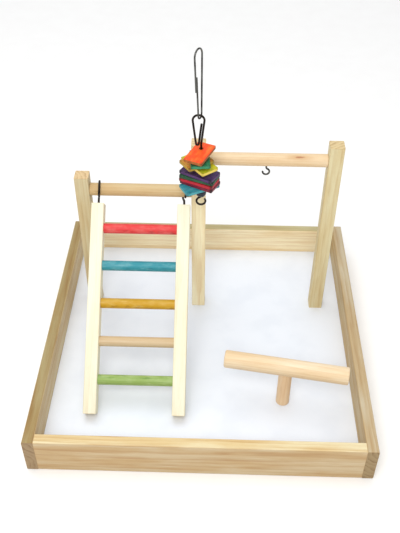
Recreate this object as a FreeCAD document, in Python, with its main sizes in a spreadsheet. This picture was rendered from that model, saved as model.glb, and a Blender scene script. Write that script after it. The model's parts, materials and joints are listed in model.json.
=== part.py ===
import FreeCAD, Part
import math
import os
import Sketcher
from FreeCAD import Placement, Rotation, Vector

# Parrot play stand: a square tray with three posts, two round perches, a hanging ladder,
# a T perch that turns on its screw, and a toy of coloured tiles on a stiff wire.
# The origin is the centre of the tray's underside: X to the right, Y to the back, Z up.
# All lengths are millimetres and all angles are degrees.

SIZES = {
    # tray
    "tray_width": 320.0,
    "tray_depth": 320.0,
    "rail_height": 40.5,
    "rail_thickness": 10.5,
    "rail_round": 1.0,
    "panel_thickness": 9.0,
    "panel_gap": 0.1,
    # posts, all on one line across the tray
    "post_width": 14.0,
    "post_round": 0.8,
    "post_back_gap": 83.0,
    "side_post_gap": 19.0,
    "middle_post_offset": 7.8,
    "tall_post_length": 210.0,
    "short_post_length": 170.0,
    # round perches
    "perch_diameter": 12.8,
    "perch_chamfer": 0.5,
    "left_perch_drop": 17.0,
    "right_perch_drop": 18.0,
    # ladder
    "ladder_left_gap": 2.7,
    "ladder_right_gap": 0.9,
    "stile_width": 12.5,
    "stile_depth": 14.0,
    "stile_length": 206.0,
    "stile_round": 0.8,
    "rung_diameter": 10.0,
    "rung_chamfer": 0.4,
    "rung_insert": 9.0,
    "first_rung": 32.5,
    "rung_pitch": 37.3,
    "ladder_foot_gap": 0.3,
    "ladder_eye_wire": 2.2,
    "ladder_eye_play": 1.1,
    "ladder_eye_rest": 0.3,
    "ladder_eye_bend": 3.0,
    "ladder_eye_neck": 3.5,
    "ladder_eye_thread": 14.0,
    "ladder_eye_wrap_angle": 312.0,
    "left_eye_twist_angle": 8.0,
    "right_eye_twist_angle": 14.0,
    # T perch
    "t_perch_side_gap": 69.5,
    "t_perch_front_gap": 69.5,
    "t_perch_float": 0.1,
    "t_stem_diameter": 13.0,
    "t_stem_insert": 9.0,
    "t_bar_diameter": 17.0,
    "t_bar_length": 118.0,
    "t_bar_rise": 50.5,
    "t_bar_turn_angle": 9.0,
    "t_bar_chamfer": 0.8,
    # cup hook under the right perch
    "cup_hook_wire": 1.8,
    "cup_hook_ring": 3.3,
    "cup_hook_bend": 2.2,
    "cup_hook_neck": 2.4,
    "cup_hook_thread": 8.0,
    "cup_hook_wrap_angle": 250.0,
    # screw eye that carries the toy
    "toy_eye_drop": 8.5,
    "toy_eye_wire": 2.0,
    "toy_eye_play": 1.2,
    "toy_eye_bend": 2.0,
    "toy_eye_thread": 9.0,
    "toy_eye_wrap_angle": 300.0,
    # toy wire: a folded end inside a tall loop, the stem, and a ring
    "toy_side_offset": 3.1,
    "toy_post_gap": 1.7,
    "toy_wire": 2.0,
    "toy_wire_gap": 0.2,
    "toy_tail": 20.0,
    "toy_tail_bend": 6.0,
    "toy_fold_radius": 1.3,
    "toy_fold_gap": 2.7,
    "toy_neck_bend": 6.0,
    "toy_loop_radius": 5.25,
    "toy_loop_height": 24.0,
    "toy_ring_radius": 4.3,
    "toy_ring_bend": 2.5,
    "toy_ring_wrap_angle": 285.0,
    # tiles and stop bead
    "tile_length": 34.5,
    "tile_width": 18.0,
    "tile_thickness": 3.5,
    "tile_bevel": 0.5,
    "tile_hole": 6.0,
    "tile_gap": 0.4,
    "tile_rest_gap": 0.3,
    "tile_slack": 3.9,
    "short_tile_length": 27.0,
    "short_tile_hole_back": 3.75,
    "top_tile_length": 31.4,
    "top_tile_hole": 4.0,
    "top_tile_hole_back": 6.0,
    "top_tile_hole_side": 1.5,
    "top_tile_lift": 3.6,
    "top_tile_turn_angle": 66.0,
    "top_tile_lean_angle": 1.5,
    "bead_diameter": 10.2,
    "bead_height": 9.6,
    "bead_hole": 3.2,
    # snap clip
    "clip_side": 1.2,
    "clip_wire": 1.6,
    "clip_foot_radius": 2.9,
    "clip_top_radius": 6.2,
    "clip_leg": 55.5,
    "clip_hook_leg": 31.0,
    "clip_gate_length": 37.5,
    "clip_gate_gap": 0.35,
    "clip_gate_foot_gap": 0.15,
    "clip_turn_angle": 62.0,
    "clip_lean_angle": 2.2,
    # fasteners
    "screw_diameter": 3.4,
    "screw_head": 6.8,
    "screw_length": 32.0,
    "screw_play": 0.06,
    "perch_screw_diameter": 2.6,
    "perch_screw_head": 5.2,
    "perch_screw_length": 30.0,
    "nail_diameter": 1.5,
    "nail_head": 2.4,
    "corner_nail_length": 28.0,
    "corner_nail_low": 11.0,
    "corner_nail_high": 30.0,
    "panel_nail_length": 25.0,
    "panel_nail_pitch": 100.0,
}

# Places worked out from the sizes. Each is an expression of the sheet and of earlier places.
LAYOUT = {
    "post_line": "Sizes.tray_depth / 2 - Sizes.rail_thickness - Sizes.post_back_gap - Sizes.post_width / 2",
    "side_post_x": "Sizes.tray_width / 2 - Sizes.rail_thickness - Sizes.side_post_gap - Sizes.post_width / 2",
    "post_front": "Layout.post_line - Sizes.post_width / 2",
    "short_post_top": "Sizes.panel_thickness + Sizes.short_post_length",
    "tall_post_top": "Sizes.panel_thickness + Sizes.tall_post_length",
    "left_perch_z": "Layout.short_post_top - Sizes.left_perch_drop",
    "right_perch_z": "Layout.tall_post_top - Sizes.right_perch_drop",
    # clear bays between the posts
    "left_bay_start": "-Layout.side_post_x + Sizes.post_width / 2",
    "left_bay_end": "-Sizes.middle_post_offset - Sizes.post_width / 2",
    "right_bay_start": "-Sizes.middle_post_offset + Sizes.post_width / 2",
    "right_bay_end": "Layout.side_post_x - Sizes.post_width / 2",
    # ladder, hung by its eyes: hang_z is the centre of the eyes
    "left_stile_x": "Layout.left_bay_start + Sizes.ladder_left_gap + Sizes.stile_width / 2",
    "right_stile_x": "Layout.left_bay_end - Sizes.ladder_right_gap - Sizes.stile_width / 2",
    "rung_length": "Layout.right_stile_x - Layout.left_stile_x - Sizes.stile_width + 2 * Sizes.rung_insert",
    "ladder_eye_ring": "Sizes.perch_diameter / 2 + Sizes.ladder_eye_play + Sizes.ladder_eye_wire / 2",
    "ladder_eye_rise": (
        "sqrt((Sizes.ladder_eye_bend + Layout.ladder_eye_ring) ^ 2"
        " - Sizes.ladder_eye_bend ^ 2)"
    ),
    "hang_z": "Layout.left_perch_z - Sizes.ladder_eye_play + Sizes.ladder_eye_rest",
    "stile_top": "Layout.ladder_eye_rise + Sizes.ladder_eye_neck",
    "stile_foot": "Layout.stile_top + Sizes.stile_length",
    "ladder_drop": "Layout.hang_z - Sizes.panel_thickness - Sizes.ladder_foot_gap",
    "foot_reach": "sqrt(Layout.stile_foot ^ 2 + (Sizes.stile_depth / 2) ^ 2)",
    "ladder_lean_angle": "asin(Layout.ladder_drop / Layout.foot_reach)"
                         " - atan(Sizes.stile_depth / 2 / Layout.stile_foot)",
    # T perch
    "t_perch_x": "Sizes.tray_width / 2 - Sizes.rail_thickness - Sizes.t_perch_side_gap",
    "t_perch_y": "-Sizes.tray_depth / 2 + Sizes.rail_thickness + Sizes.t_perch_front_gap",
    "t_bar_z": "Sizes.panel_thickness + Sizes.t_bar_rise",
    "t_stem_z": "Sizes.panel_thickness + Sizes.t_perch_float",
    "t_stem_length": "Layout.t_bar_z - Sizes.t_bar_diameter / 2 + Sizes.t_stem_insert - Layout.t_stem_z",
    # toy: its wire stands clear of the post by the reach of a tile's corner
    "tile_sweep": "sqrt(Sizes.tile_length ^ 2 + Sizes.tile_width ^ 2) / 2",
    "toy_x": "-Sizes.middle_post_offset + Sizes.toy_side_offset",
    "toy_y": "Layout.post_front - Layout.tile_sweep - Sizes.toy_post_gap",
    "toy_eye_z": "Layout.tall_post_top - Sizes.toy_eye_drop",
    "toy_eye_ring": "Sizes.toy_wire / 2 + Sizes.toy_eye_play + Sizes.toy_eye_wire / 2",
    "toy_eye_reach": "sqrt((Sizes.toy_eye_bend + Layout.toy_eye_ring) ^ 2 - Sizes.toy_eye_bend ^ 2)",
    # tiles: four rest on the screw eye, five hang on the bead and the ring
    "tile_pitch": "Sizes.tile_thickness + Sizes.tile_gap",
    "tile_play": "(Sizes.tile_hole - Sizes.toy_wire) / 2",
    "lime_z": "Layout.toy_eye_z + Sizes.toy_eye_wire / 2 + Sizes.tile_rest_gap + Sizes.tile_thickness / 2",
    "top_tile_z": "Layout.lime_z + 3 * Layout.tile_pitch + Sizes.top_tile_lift",
    "purple_z": "Layout.toy_eye_z - Sizes.toy_eye_wire / 2 - Sizes.tile_slack - Sizes.tile_thickness / 2",
    "teal_z": "Layout.purple_z - 4 * Layout.tile_pitch",
    "bead_z": "Layout.teal_z - Sizes.tile_thickness / 2 - Sizes.tile_rest_gap - Sizes.bead_height / 2",
    "toy_ring_z": "Layout.bead_z - Sizes.bead_height / 2 - Sizes.tile_rest_gap"
                  " - Sizes.toy_ring_radius - Sizes.toy_wire / 2",
    "toy_ring_rise": "sqrt((Sizes.toy_ring_bend + Sizes.toy_ring_radius) ^ 2 - Sizes.toy_ring_bend ^ 2)",
    # toy loop: both strands flare by the same angle from the fold up to the top arc
    "strand_pitch": "Sizes.toy_wire + Sizes.toy_wire_gap",
    "loop_spread": "Sizes.toy_loop_radius - Sizes.toy_fold_radius - Layout.strand_pitch / 2",
    "loop_flare_angle": "asin(Layout.loop_spread / Sizes.toy_loop_height)",
    "fold_z": "Layout.top_tile_z + Sizes.tile_thickness / 2 + Sizes.toy_fold_gap"
              " + Sizes.toy_fold_radius + Sizes.toy_wire / 2",
    "left_strand": "Layout.loop_spread / tan(Layout.loop_flare_angle)"
                   " - Layout.strand_pitch / 2 * tan(Layout.loop_flare_angle)",
    "right_strand": "Sizes.toy_loop_height / cos(Layout.loop_flare_angle)"
                    " - Sizes.toy_loop_radius * tan(Layout.loop_flare_angle)",
    # the fold's centre, seen from the wire's free end
    "fold_dx": "-Sizes.toy_tail_bend * (1 - cos(Layout.loop_flare_angle))"
               " - Sizes.toy_tail * sin(Layout.loop_flare_angle)"
               " - Sizes.toy_fold_radius * cos(Layout.loop_flare_angle)",
    "fold_dz": "-(Sizes.toy_tail_bend - Sizes.toy_fold_radius) * sin(Layout.loop_flare_angle)"
               " - Sizes.toy_tail * cos(Layout.loop_flare_angle)",
    # the loop's centre and the stem, seen from the fold's centre
    "loop_dx": "Layout.strand_pitch / 2 / cos(Layout.loop_flare_angle)",
    "stem_dx": "Layout.loop_dx + Sizes.toy_loop_radius * cos(Layout.loop_flare_angle)"
               " - Layout.right_strand * sin(Layout.loop_flare_angle)"
               " - Sizes.toy_neck_bend * (1 - cos(Layout.loop_flare_angle))",
    "stem_top_z": "Layout.fold_z - Sizes.toy_neck_bend * sin(Layout.loop_flare_angle)",
    "toy_stem_length": "Layout.stem_top_z - Layout.toy_ring_z - Layout.toy_ring_rise",
    "toy_end_x": "Layout.toy_x - Layout.stem_dx - Layout.fold_dx",
    "toy_end_z": "Layout.fold_z - Layout.fold_dz",
    "toy_loop_x": "Layout.toy_x - Layout.stem_dx + Layout.loop_dx",
    "toy_loop_z": "Layout.fold_z + Sizes.toy_loop_height + Sizes.toy_loop_radius",
    # snap clip: how far its top arc is shifted, and the length of its two-sided taper
    "clip_x": "Layout.toy_loop_x + Sizes.clip_side",
    "clip_z": (
        "Layout.toy_loop_z - Sizes.toy_loop_radius"
        " + sqrt(Sizes.toy_loop_radius ^ 2 - Sizes.clip_side ^ 2)"
    ),
    "clip_spread": "Sizes.clip_top_radius - Sizes.clip_foot_radius",
    "clip_shift": "Layout.clip_spread - Sizes.clip_wire - Sizes.clip_gate_gap",
    "clip_taper": "sqrt(Sizes.clip_leg ^ 2 + Layout.clip_spread ^ 2)",
    "clip_flare_angle": (
        "atan(Layout.clip_spread / Sizes.clip_leg)"
        " + asin(Layout.clip_shift / Layout.clip_taper)"
    ),
}

RUNGS = ["rung_green", "rung_natural", "rung_yellow", "rung_blue", "rung_red"]

# The tiles under the top one, from the top down: name, whether it is whole or short, turn of
# its long side, and how far it sits off the wire to the right and the back, as shares of the
# room that its hole leaves round the wire.
TILES_ABOVE_EYE = [
    ("tile_green", "short", 95.0, -0.65, -0.40),
    ("tile_amber", "short", 34.3, -0.45, -0.20),
    ("tile_lime", "whole", 128.0, -0.80, 0.05),
]
TILES_BELOW_EYE = [
    ("tile_purple", "whole", 150.0, -0.65, -0.15),
    ("tile_leaf", "whole", 157.0, -0.70, 0.10),
    ("tile_red", "whole", 154.8, -0.80, 0.10),
    ("tile_plum", "whole", 152.0, -0.50, 0.60),
    ("tile_teal", "whole", 28.0, -0.80, 0.20),
]

doc = FreeCAD.newDocument("ParrotPlayStand")
NODES = []


def fill_sheet():
    """Write each driving size to its own named cell."""
    sheet = doc.addObject("Spreadsheet::Sheet", "Sizes")
    for row, (name, value) in enumerate(SIZES.items(), start=1):
        sheet.set(f"A{row}", name)
        sheet.set(f"B{row}", str(value))
        sheet.setAlias(f"B{row}", name)
    doc.recompute()
    return sheet


def fill_layout():
    """Hold the places and angles that follow from the sizes."""
    layout = doc.addObject("App::VarSet", "Layout")
    for name, expression in LAYOUT.items():
        kind = "App::PropertyAngle" if name.endswith("_angle") else "App::PropertyFloat"
        layout.addProperty(kind, name, "Places", "")
        layout.setExpression(name, expression)
        doc.recompute()
    return layout


def value_of(expression):
    """Return the number that an expression of the sheet has now."""
    result = layout.evalExpression(expression)
    return float(getattr(result, "Value", result))


def bind(item, **expressions):
    """Bind properties of an object; a double underscore in a name stands for a dot."""
    for name, expression in expressions.items():
        item.setExpression(name.replace("__", "."), expression)


def place(item, x="0", y="0", z="0", turn=None):
    """Bind an object's place, and its turn when one is given as a rotation expression."""
    where = f"vector({x}; {y}; {z})"
    spin = turn or "rotation(vector(0; 0; 1); 0 deg)"
    item.setExpression("Placement", f"placement({where}; {spin})")


def node(item, name):
    """Give an object the name that its file carries."""
    item.Label = name
    NODES.append(item)
    return item


def new_body(name):
    body = doc.addObject("PartDesign::Body", name)
    body.Label = f"{name} body"
    return body


def new_sketch(body, role, name):
    """Start a sketch on one of the body's own origin planes."""
    sketch = body.newObject("Sketcher::SketchObject", f"{body.Name}_{name}")
    plane = next(feature for feature in body.Origin.OriginFeatures if feature.Role == role)
    sketch.AttachmentSupport = [(plane, "")]
    sketch.MapMode = "FlatFace"
    return sketch


def limit(sketch, kind, arguments, expression):
    """Add a dimension to a sketch and bind it to an expression."""
    index = sketch.addConstraint(Sketcher.Constraint(kind, *arguments))
    sketch.setExpression(f"Constraints[{index}]", expression)


def draw_rectangle(sketch, width, height):
    """Draw a rectangle centred on the sketch's origin."""
    half_w = value_of(width) / 2
    half_h = value_of(height) / 2
    corners = [
        Vector(-half_w, -half_h),
        Vector(half_w, -half_h),
        Vector(half_w, half_h),
        Vector(-half_w, half_h),
    ]
    for i in range(4):
        sketch.addGeometry(Part.LineSegment(corners[i], corners[(i + 1) % 4]), False)
    for i in range(4):
        sketch.addConstraint(Sketcher.Constraint("Coincident", i, 2, (i + 1) % 4, 1))
    for i, kind in enumerate(("Horizontal", "Vertical", "Horizontal", "Vertical")):
        sketch.addConstraint(Sketcher.Constraint(kind, i))
    sketch.addConstraint(Sketcher.Constraint("Symmetric", 0, 1, 2, 1, -1, 1))
    limit(sketch, "DistanceX", (0, 1, 0, 2, 2 * half_w), width)
    limit(sketch, "DistanceY", (1, 1, 1, 2, 2 * half_h), height)


def draw_circle(sketch, diameter, centre_x=None):
    """Draw a circle on the sketch's origin, or on its horizontal axis at a bound place."""
    offset = value_of(centre_x) if centre_x else 0.0
    outline = Part.Circle(Vector(offset, 0, 0), Vector(0, 0, 1), value_of(diameter) / 2)
    circle = sketch.addGeometry(outline, False)
    if centre_x:
        sketch.addConstraint(Sketcher.Constraint("PointOnObject", circle, 3, -1))
        limit(sketch, "DistanceX", (-1, 1, circle, 3, offset), centre_x)
    else:
        sketch.addConstraint(Sketcher.Constraint("Coincident", circle, 3, -1, 1))
    limit(sketch, "Diameter", (circle, value_of(diameter)), diameter)


def line(length):
    """A straight stretch of wire."""
    return ("line", length, None, 0)


def bend_left(radius, angle):
    """An arc of wire that turns to the left; the angle is an expression in degrees."""
    return ("bend", radius, angle, 1)


def bend_right(radius, angle):
    """An arc of wire that turns to the right."""
    return ("bend", radius, angle, -1)


def draw_wire(sketch, stretches, start_x=None, upwards=True):
    """Draw a chain of tangent lines and arcs that starts on the sketch's horizontal axis.

    The chain sets off along the vertical axis. Every stretch is dimensioned and tangent to
    the one before, so the whole path is fixed.
    """
    x = value_of(start_x) if start_x else 0.0
    y = 0.0
    heading = math.pi / 2 if upwards else -math.pi / 2
    last = None
    for kind, size, angle, side in stretches:
        length = value_of(size)
        if kind == "line":
            end = (x + length * math.cos(heading), y + length * math.sin(heading))
            piece = sketch.addGeometry(Part.LineSegment(Vector(x, y, 0), Vector(*end, 0)), False)
            limit(sketch, "Distance", (piece, length), size)
            first_point, last_point = 1, 2
        else:
            sweep = math.radians(value_of(angle))
            centre = Vector(x - side * length * math.sin(heading), y + side * length * math.cos(heading), 0)
            start = math.atan2(y - centre.y, x - centre.x)
            finish = start + side * sweep
            circle = Part.Circle(centre, Vector(0, 0, 1), length)
            arc = Part.ArcOfCircle(circle, min(start, finish), max(start, finish))
            piece = sketch.addGeometry(arc, False)
            first_point, last_point = (1, 2) if side > 0 else (2, 1)
            end = (centre.x + length * math.cos(finish), centre.y + length * math.sin(finish))
            heading += side * sweep
            limit(sketch, "Radius", (piece, length), size)
            limit(sketch, "Angle", (piece, sweep), angle)
        if last is None:
            if start_x:
                sketch.addConstraint(Sketcher.Constraint("PointOnObject", piece, first_point, -1))
                limit(sketch, "DistanceX", (-1, 1, piece, first_point, x), start_x)
            else:
                sketch.addConstraint(Sketcher.Constraint("Coincident", piece, first_point, -1, 1))
            if kind == "line":
                sketch.addConstraint(Sketcher.Constraint("Vertical", piece))
            else:
                sketch.addConstraint(Sketcher.Constraint("PointOnObject", piece, 3, -1))
        else:
            sketch.addConstraint(Sketcher.Constraint("Tangent", last[0], last[1], piece, first_point))
        last = (piece, last_point)
        x, y = end


def bent_wire(name, diameter, stretches, start_x=None, upwards=True):
    """Carry a round section along a bent path in the body's XZ plane."""
    body = new_body(name)
    path = new_sketch(body, "XZ_Plane", "path")
    draw_wire(path, stretches, start_x, upwards)
    section = new_sketch(body, "XY_Plane", "section")
    draw_circle(section, diameter, start_x)
    doc.recompute()
    pipe = body.newObject("PartDesign::AdditivePipe", f"{name}_pipe")
    pipe.Profile = section
    pipe.Spine = (path, [])
    doc.recompute()
    return body


def ring_path(shank, bend, ring, wrap):
    """The path of a screw eye: a shank, a small bend and a ring centred on the shank."""
    swing = f"acos(({bend}) / (({bend}) + ({ring})))"
    return [line(shank), bend_right(bend, swing), bend_left(ring, f"{wrap} * 1 deg")]


GRAIN = {"XY_Plane": Vector(0, 0, 1), "XZ_Plane": Vector(0, 1, 0), "YZ_Plane": Vector(1, 0, 0)}


def squared_timber(name, plane, width, height, length, rounding):
    """A planed length of wood, rounded along the grain and sawn square at its ends."""
    body = new_body(name)
    section = new_sketch(body, plane, "section")
    draw_rectangle(section, width, height)
    pad = body.newObject("PartDesign::Pad", f"{name}_pad")
    pad.Profile = section
    pad.Midplane = True
    bind(pad, Length=length)
    doc.recompute()
    long_edges = [
        f"Edge{i + 1}"
        for i, edge in enumerate(pad.Shape.Edges)
        if edge.tangentAt(edge.FirstParameter).cross(GRAIN[plane]).Length < 0.01
    ]
    fillet = body.newObject("PartDesign::Fillet", f"{name}_rounding")
    fillet.Base = (pad, long_edges)
    bind(fillet, Radius=rounding)
    doc.recompute()
    return body


def dowel(name, plane, diameter, length, chamfer):
    """A turned round bar with chamfered ends, centred on its own origin."""
    body = new_body(name)
    section = new_sketch(body, plane, "section")
    draw_circle(section, diameter)
    pad = body.newObject("PartDesign::Pad", f"{name}_pad")
    pad.Profile = section
    pad.Midplane = True
    bind(pad, Length=length)
    doc.recompute()
    rims = [f"Edge{i + 1}" for i, edge in enumerate(pad.Shape.Edges) if isinstance(edge.Curve, Part.Circle)]
    cut = body.newObject("PartDesign::Chamfer", f"{name}_chamfer")
    cut.Base = (pad, rims)
    bind(cut, Size=chamfer)
    doc.recompute()
    return body


def group(name, members):
    """Hold several solids as one object."""
    compound = doc.addObject("Part::Compound", name)
    compound.Links = members
    return compound


def seat(name, blank, guests):
    """Cut from a blank the room that other pieces take in it, and name the result."""
    cut = doc.addObject("Part::Cut", name)
    cut.Base = blank
    cut.Tool = group(f"{name}_seats", guests) if len(guests) > 1 else guests[0]
    return node(cut, name)


def brad(name, length):
    """A nail along its own Z axis, its conical head first."""
    taper = "(Sizes.nail_head - Sizes.nail_diameter) / 2"
    crown = doc.addObject("Part::Cone", f"{name}_head")
    bind(crown, Radius1="Sizes.nail_head / 2", Radius2="Sizes.nail_diameter / 2", Height=taper)
    shank = doc.addObject("Part::Cylinder", f"{name}_shank")
    bind(shank, Radius="Sizes.nail_diameter / 2", Height=length)
    whole = doc.addObject("Part::Fuse", name)
    whole.Base = crown
    whole.Tool = shank
    return whole


def fastener(name, diameter, head, length, play="0"):
    """A countersunk screw along its own Z axis, head first, with room around it if asked."""
    taper = f"(({head}) - ({diameter})) / 2"
    crown = doc.addObject("Part::Cone", f"{name}_head")
    bind(crown, Radius1=f"({head}) / 2 + {play}", Radius2=f"({diameter}) / 2 + {play}", Height=taper)
    shank = doc.addObject("Part::Cylinder", f"{name}_shank")
    bind(shank, Radius=f"({diameter}) / 2 + {play}", Height=f"({length}) - ({diameter})")
    point = doc.addObject("Part::Cone", f"{name}_point")
    bind(point, Radius1=f"({diameter}) / 2 + {play}", Radius2=f"({diameter}) / 8", Height=diameter)
    place(point, z=f"({length}) - ({diameter})")
    whole = doc.addObject("Part::MultiFuse", name)
    whole.Shapes = [crown, shank, point]
    return whole


TO_RIGHT = "rotation(vector(0; 1; 0); 90 deg)"
TO_LEFT = "rotation(vector(0; 1; 0); -90 deg)"


def build_nails():
    """The brads through the side rails: into the other rails' ends and the board's edges."""
    corner = []
    board = []
    joint_y = "(Sizes.tray_depth - Sizes.rail_thickness) / 2"
    for sign, turn in ((-1, TO_RIGHT), (1, TO_LEFT)):
        face = f"{sign} * Sizes.tray_width / 2"
        for end in (-1, 1):
            for level in ("Sizes.corner_nail_low", "Sizes.corner_nail_high"):
                nail = brad(f"corner_nail_{len(corner) + 1}", "Sizes.corner_nail_length")
                place(nail, face, f"{end} * {joint_y}", level, turn)
                corner.append(nail)
        for step in (-1, 0, 1):
            nail = brad(f"panel_nail_{len(board) + 1}", "Sizes.panel_nail_length")
            place(nail, face, f"{step} * Sizes.panel_nail_pitch", "Sizes.panel_thickness / 2", turn)
            board.append(nail)
    corner_nails = node(group("corner_nails", corner), "corner_nails")
    panel_nails = node(group("panel_nails", board), "panel_nails")
    return corner_nails, panel_nails


def build_tray(nails, panel_screws):
    """Four rails nailed round a white-faced board."""
    rail = ("Sizes.rail_thickness", "Sizes.rail_height")
    middle_z = "Sizes.rail_height / 2"
    for name, sign in (("left_rail", -1), ("right_rail", 1)):
        blank = squared_timber(f"{name}_blank", "XZ_Plane", *rail, "Sizes.tray_depth", "Sizes.rail_round")
        place(blank, x=f"{sign} * (Sizes.tray_width - Sizes.rail_thickness) / 2", z=middle_z)
        seat(name, blank, nails)
    for name, sign in (("front_rail", -1), ("back_rail", 1)):
        length = "Sizes.tray_width - 2 * Sizes.rail_thickness"
        blank = squared_timber(f"{name}_blank", "YZ_Plane", *rail, length, "Sizes.rail_round")
        place(blank, y=f"{sign} * (Sizes.tray_depth - Sizes.rail_thickness) / 2", z=middle_z)
        seat(name, blank, nails[:1])
    board = doc.addObject("Part::Box", "base_panel_blank")
    width = "(Sizes.tray_width - 2 * Sizes.rail_thickness - 2 * Sizes.panel_gap)"
    depth = "(Sizes.tray_depth - 2 * Sizes.rail_thickness - 2 * Sizes.panel_gap)"
    bind(board, Length=width, Width=depth, Height="Sizes.panel_thickness")
    place(board, x=f"-{width} / 2", y=f"-{depth} / 2")
    seat("base_panel", board, [nails[1]] + panel_screws)


POSTS = {
    "left_post": ("-Layout.side_post_x", "Sizes.short_post_length"),
    "middle_post": ("-Sizes.middle_post_offset", "Sizes.tall_post_length"),
    "right_post": ("Layout.side_post_x", "Sizes.tall_post_length"),
}


def build_post_screws():
    """One screw from below into the foot of each post."""
    screws = []
    for name, (x, _) in POSTS.items():
        screw = fastener(f"{name}_screw", "Sizes.screw_diameter", "Sizes.screw_head", "Sizes.screw_length")
        place(screw, x=x, y="Layout.post_line")
        screws.append(screw)
    return node(group("post_screws", screws), "post_screws")


def build_perch_screws():
    """One screw through a post into each end of each perch."""
    ends = (
        ("Layout.left_bay_start - Sizes.post_width", "Layout.left_perch_z", TO_RIGHT),
        ("Layout.right_bay_start", "Layout.left_perch_z", TO_LEFT),
        ("Layout.left_bay_end", "Layout.right_perch_z", TO_RIGHT),
        ("Layout.right_bay_end + Sizes.post_width", "Layout.right_perch_z", TO_LEFT),
    )
    screws = []
    for x, z, turn in ends:
        screw = fastener(
            f"perch_screw_{len(screws) + 1}",
            "Sizes.perch_screw_diameter",
            "Sizes.perch_screw_head",
            "Sizes.perch_screw_length",
        )
        place(screw, x, "Layout.post_line", z, turn)
        screws.append(screw)
    return node(group("perch_screws", screws), "perch_screws")


def build_posts(post_screws, perch_screws, toy_eye):
    """Three square posts that stand on the board."""
    for name, (x, length) in POSTS.items():
        section = ("Sizes.post_width", "Sizes.post_width")
        blank = squared_timber(f"{name}_blank", "XY_Plane", *section, length, "Sizes.post_round")
        place(blank, x=x, y="Layout.post_line", z=f"Sizes.panel_thickness + {length} / 2")
        guests = [post_screws, perch_screws]
        if name == "middle_post":
            guests.append(toy_eye)
        seat(name, blank, guests)


def build_perches(perch_screws, cup_hook):
    """The two round perches between the posts."""
    perches = (
        ("left_perch", "left", [perch_screws]),
        ("right_perch", "right", [perch_screws, cup_hook]),
    )
    for name, side, guests in perches:
        length = f"(Layout.{side}_bay_end - Layout.{side}_bay_start)"
        blank = dowel(f"{name}_blank", "YZ_Plane", "Sizes.perch_diameter", length, "Sizes.perch_chamfer")
        place(blank, f"Layout.{side}_bay_start + {length} / 2", "Layout.post_line", f"Layout.{side}_perch_z")
        seat(name, blank, guests)


def build_cup_hook():
    """An open hook screwed up into the middle of the right perch."""
    path = ring_path(
        "Sizes.cup_hook_thread + Sizes.cup_hook_neck",
        "Sizes.cup_hook_bend",
        "Sizes.cup_hook_ring",
        "Sizes.cup_hook_wrap_angle",
    )
    hook = bent_wire("cup_hook", "Sizes.cup_hook_wire", path)
    place(
        hook,
        "(Layout.right_bay_start + Layout.right_bay_end) / 2",
        "Layout.post_line",
        "Layout.right_perch_z - Sizes.perch_diameter / 2 + Sizes.cup_hook_thread",
        "rotation(vector(0; 1; 0); 180 deg) * rotation(vector(0; 0; 1); 180 deg)",
    )
    return node(hook, "cup_hook")


def on_ladder(item, x, along):
    """Place a piece on the leaning ladder, so far up from the centre of its eyes."""
    place(
        item,
        x,
        f"Layout.post_line + ({along}) * cos(Layout.ladder_lean_angle)",
        f"Layout.hang_z + ({along}) * sin(Layout.ladder_lean_angle)",
        "rotation(vector(1; 0; 0); Layout.ladder_lean_angle - 90 deg)",
    )


def build_ladder():
    """Two stiles with five rungs, hung on the left perch by two screw eyes."""
    rungs = []
    for i, name in enumerate(RUNGS):
        rung = dowel(name, "YZ_Plane", "Sizes.rung_diameter", "Layout.rung_length", "Sizes.rung_chamfer")
        along = f"-Layout.stile_foot + Sizes.first_rung + {i} * Sizes.rung_pitch"
        on_ladder(rung, "(Layout.left_stile_x + Layout.right_stile_x) / 2", along)
        rungs.append(node(rung, name))
    path = ring_path(
        "Sizes.ladder_eye_thread + Sizes.ladder_eye_neck",
        "Sizes.ladder_eye_bend",
        "Layout.ladder_eye_ring",
        "Sizes.ladder_eye_wrap_angle",
    )
    for side in ("left", "right"):
        eye = bent_wire(f"ladder_{side}_eye", "Sizes.ladder_eye_wire", path)
        x = f"Layout.{side}_stile_x"
        place(
            eye,
            x,
            "Layout.post_line - (Layout.stile_top + Sizes.ladder_eye_thread) * cos(Layout.ladder_lean_angle)",
            "Layout.hang_z - (Layout.stile_top + Sizes.ladder_eye_thread) * sin(Layout.ladder_lean_angle)",
            "rotation(vector(1; 0; 0); Layout.ladder_lean_angle - 90 deg)"
            f" * rotation(vector(0; 0; 1); 90 deg + Sizes.{side}_eye_twist_angle * 1 deg)",
        )
        node(eye, f"ladder_{side}_eye")
        section = ("Sizes.stile_width", "Sizes.stile_depth")
        name = f"ladder_{side}_stile"
        blank = squared_timber(
            f"{name}_blank", "XY_Plane", *section, "Sizes.stile_length", "Sizes.stile_round"
        )
        on_ladder(blank, x, "-Layout.stile_top - Sizes.stile_length / 2")
        seat(name, blank, rungs + [eye])


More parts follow.
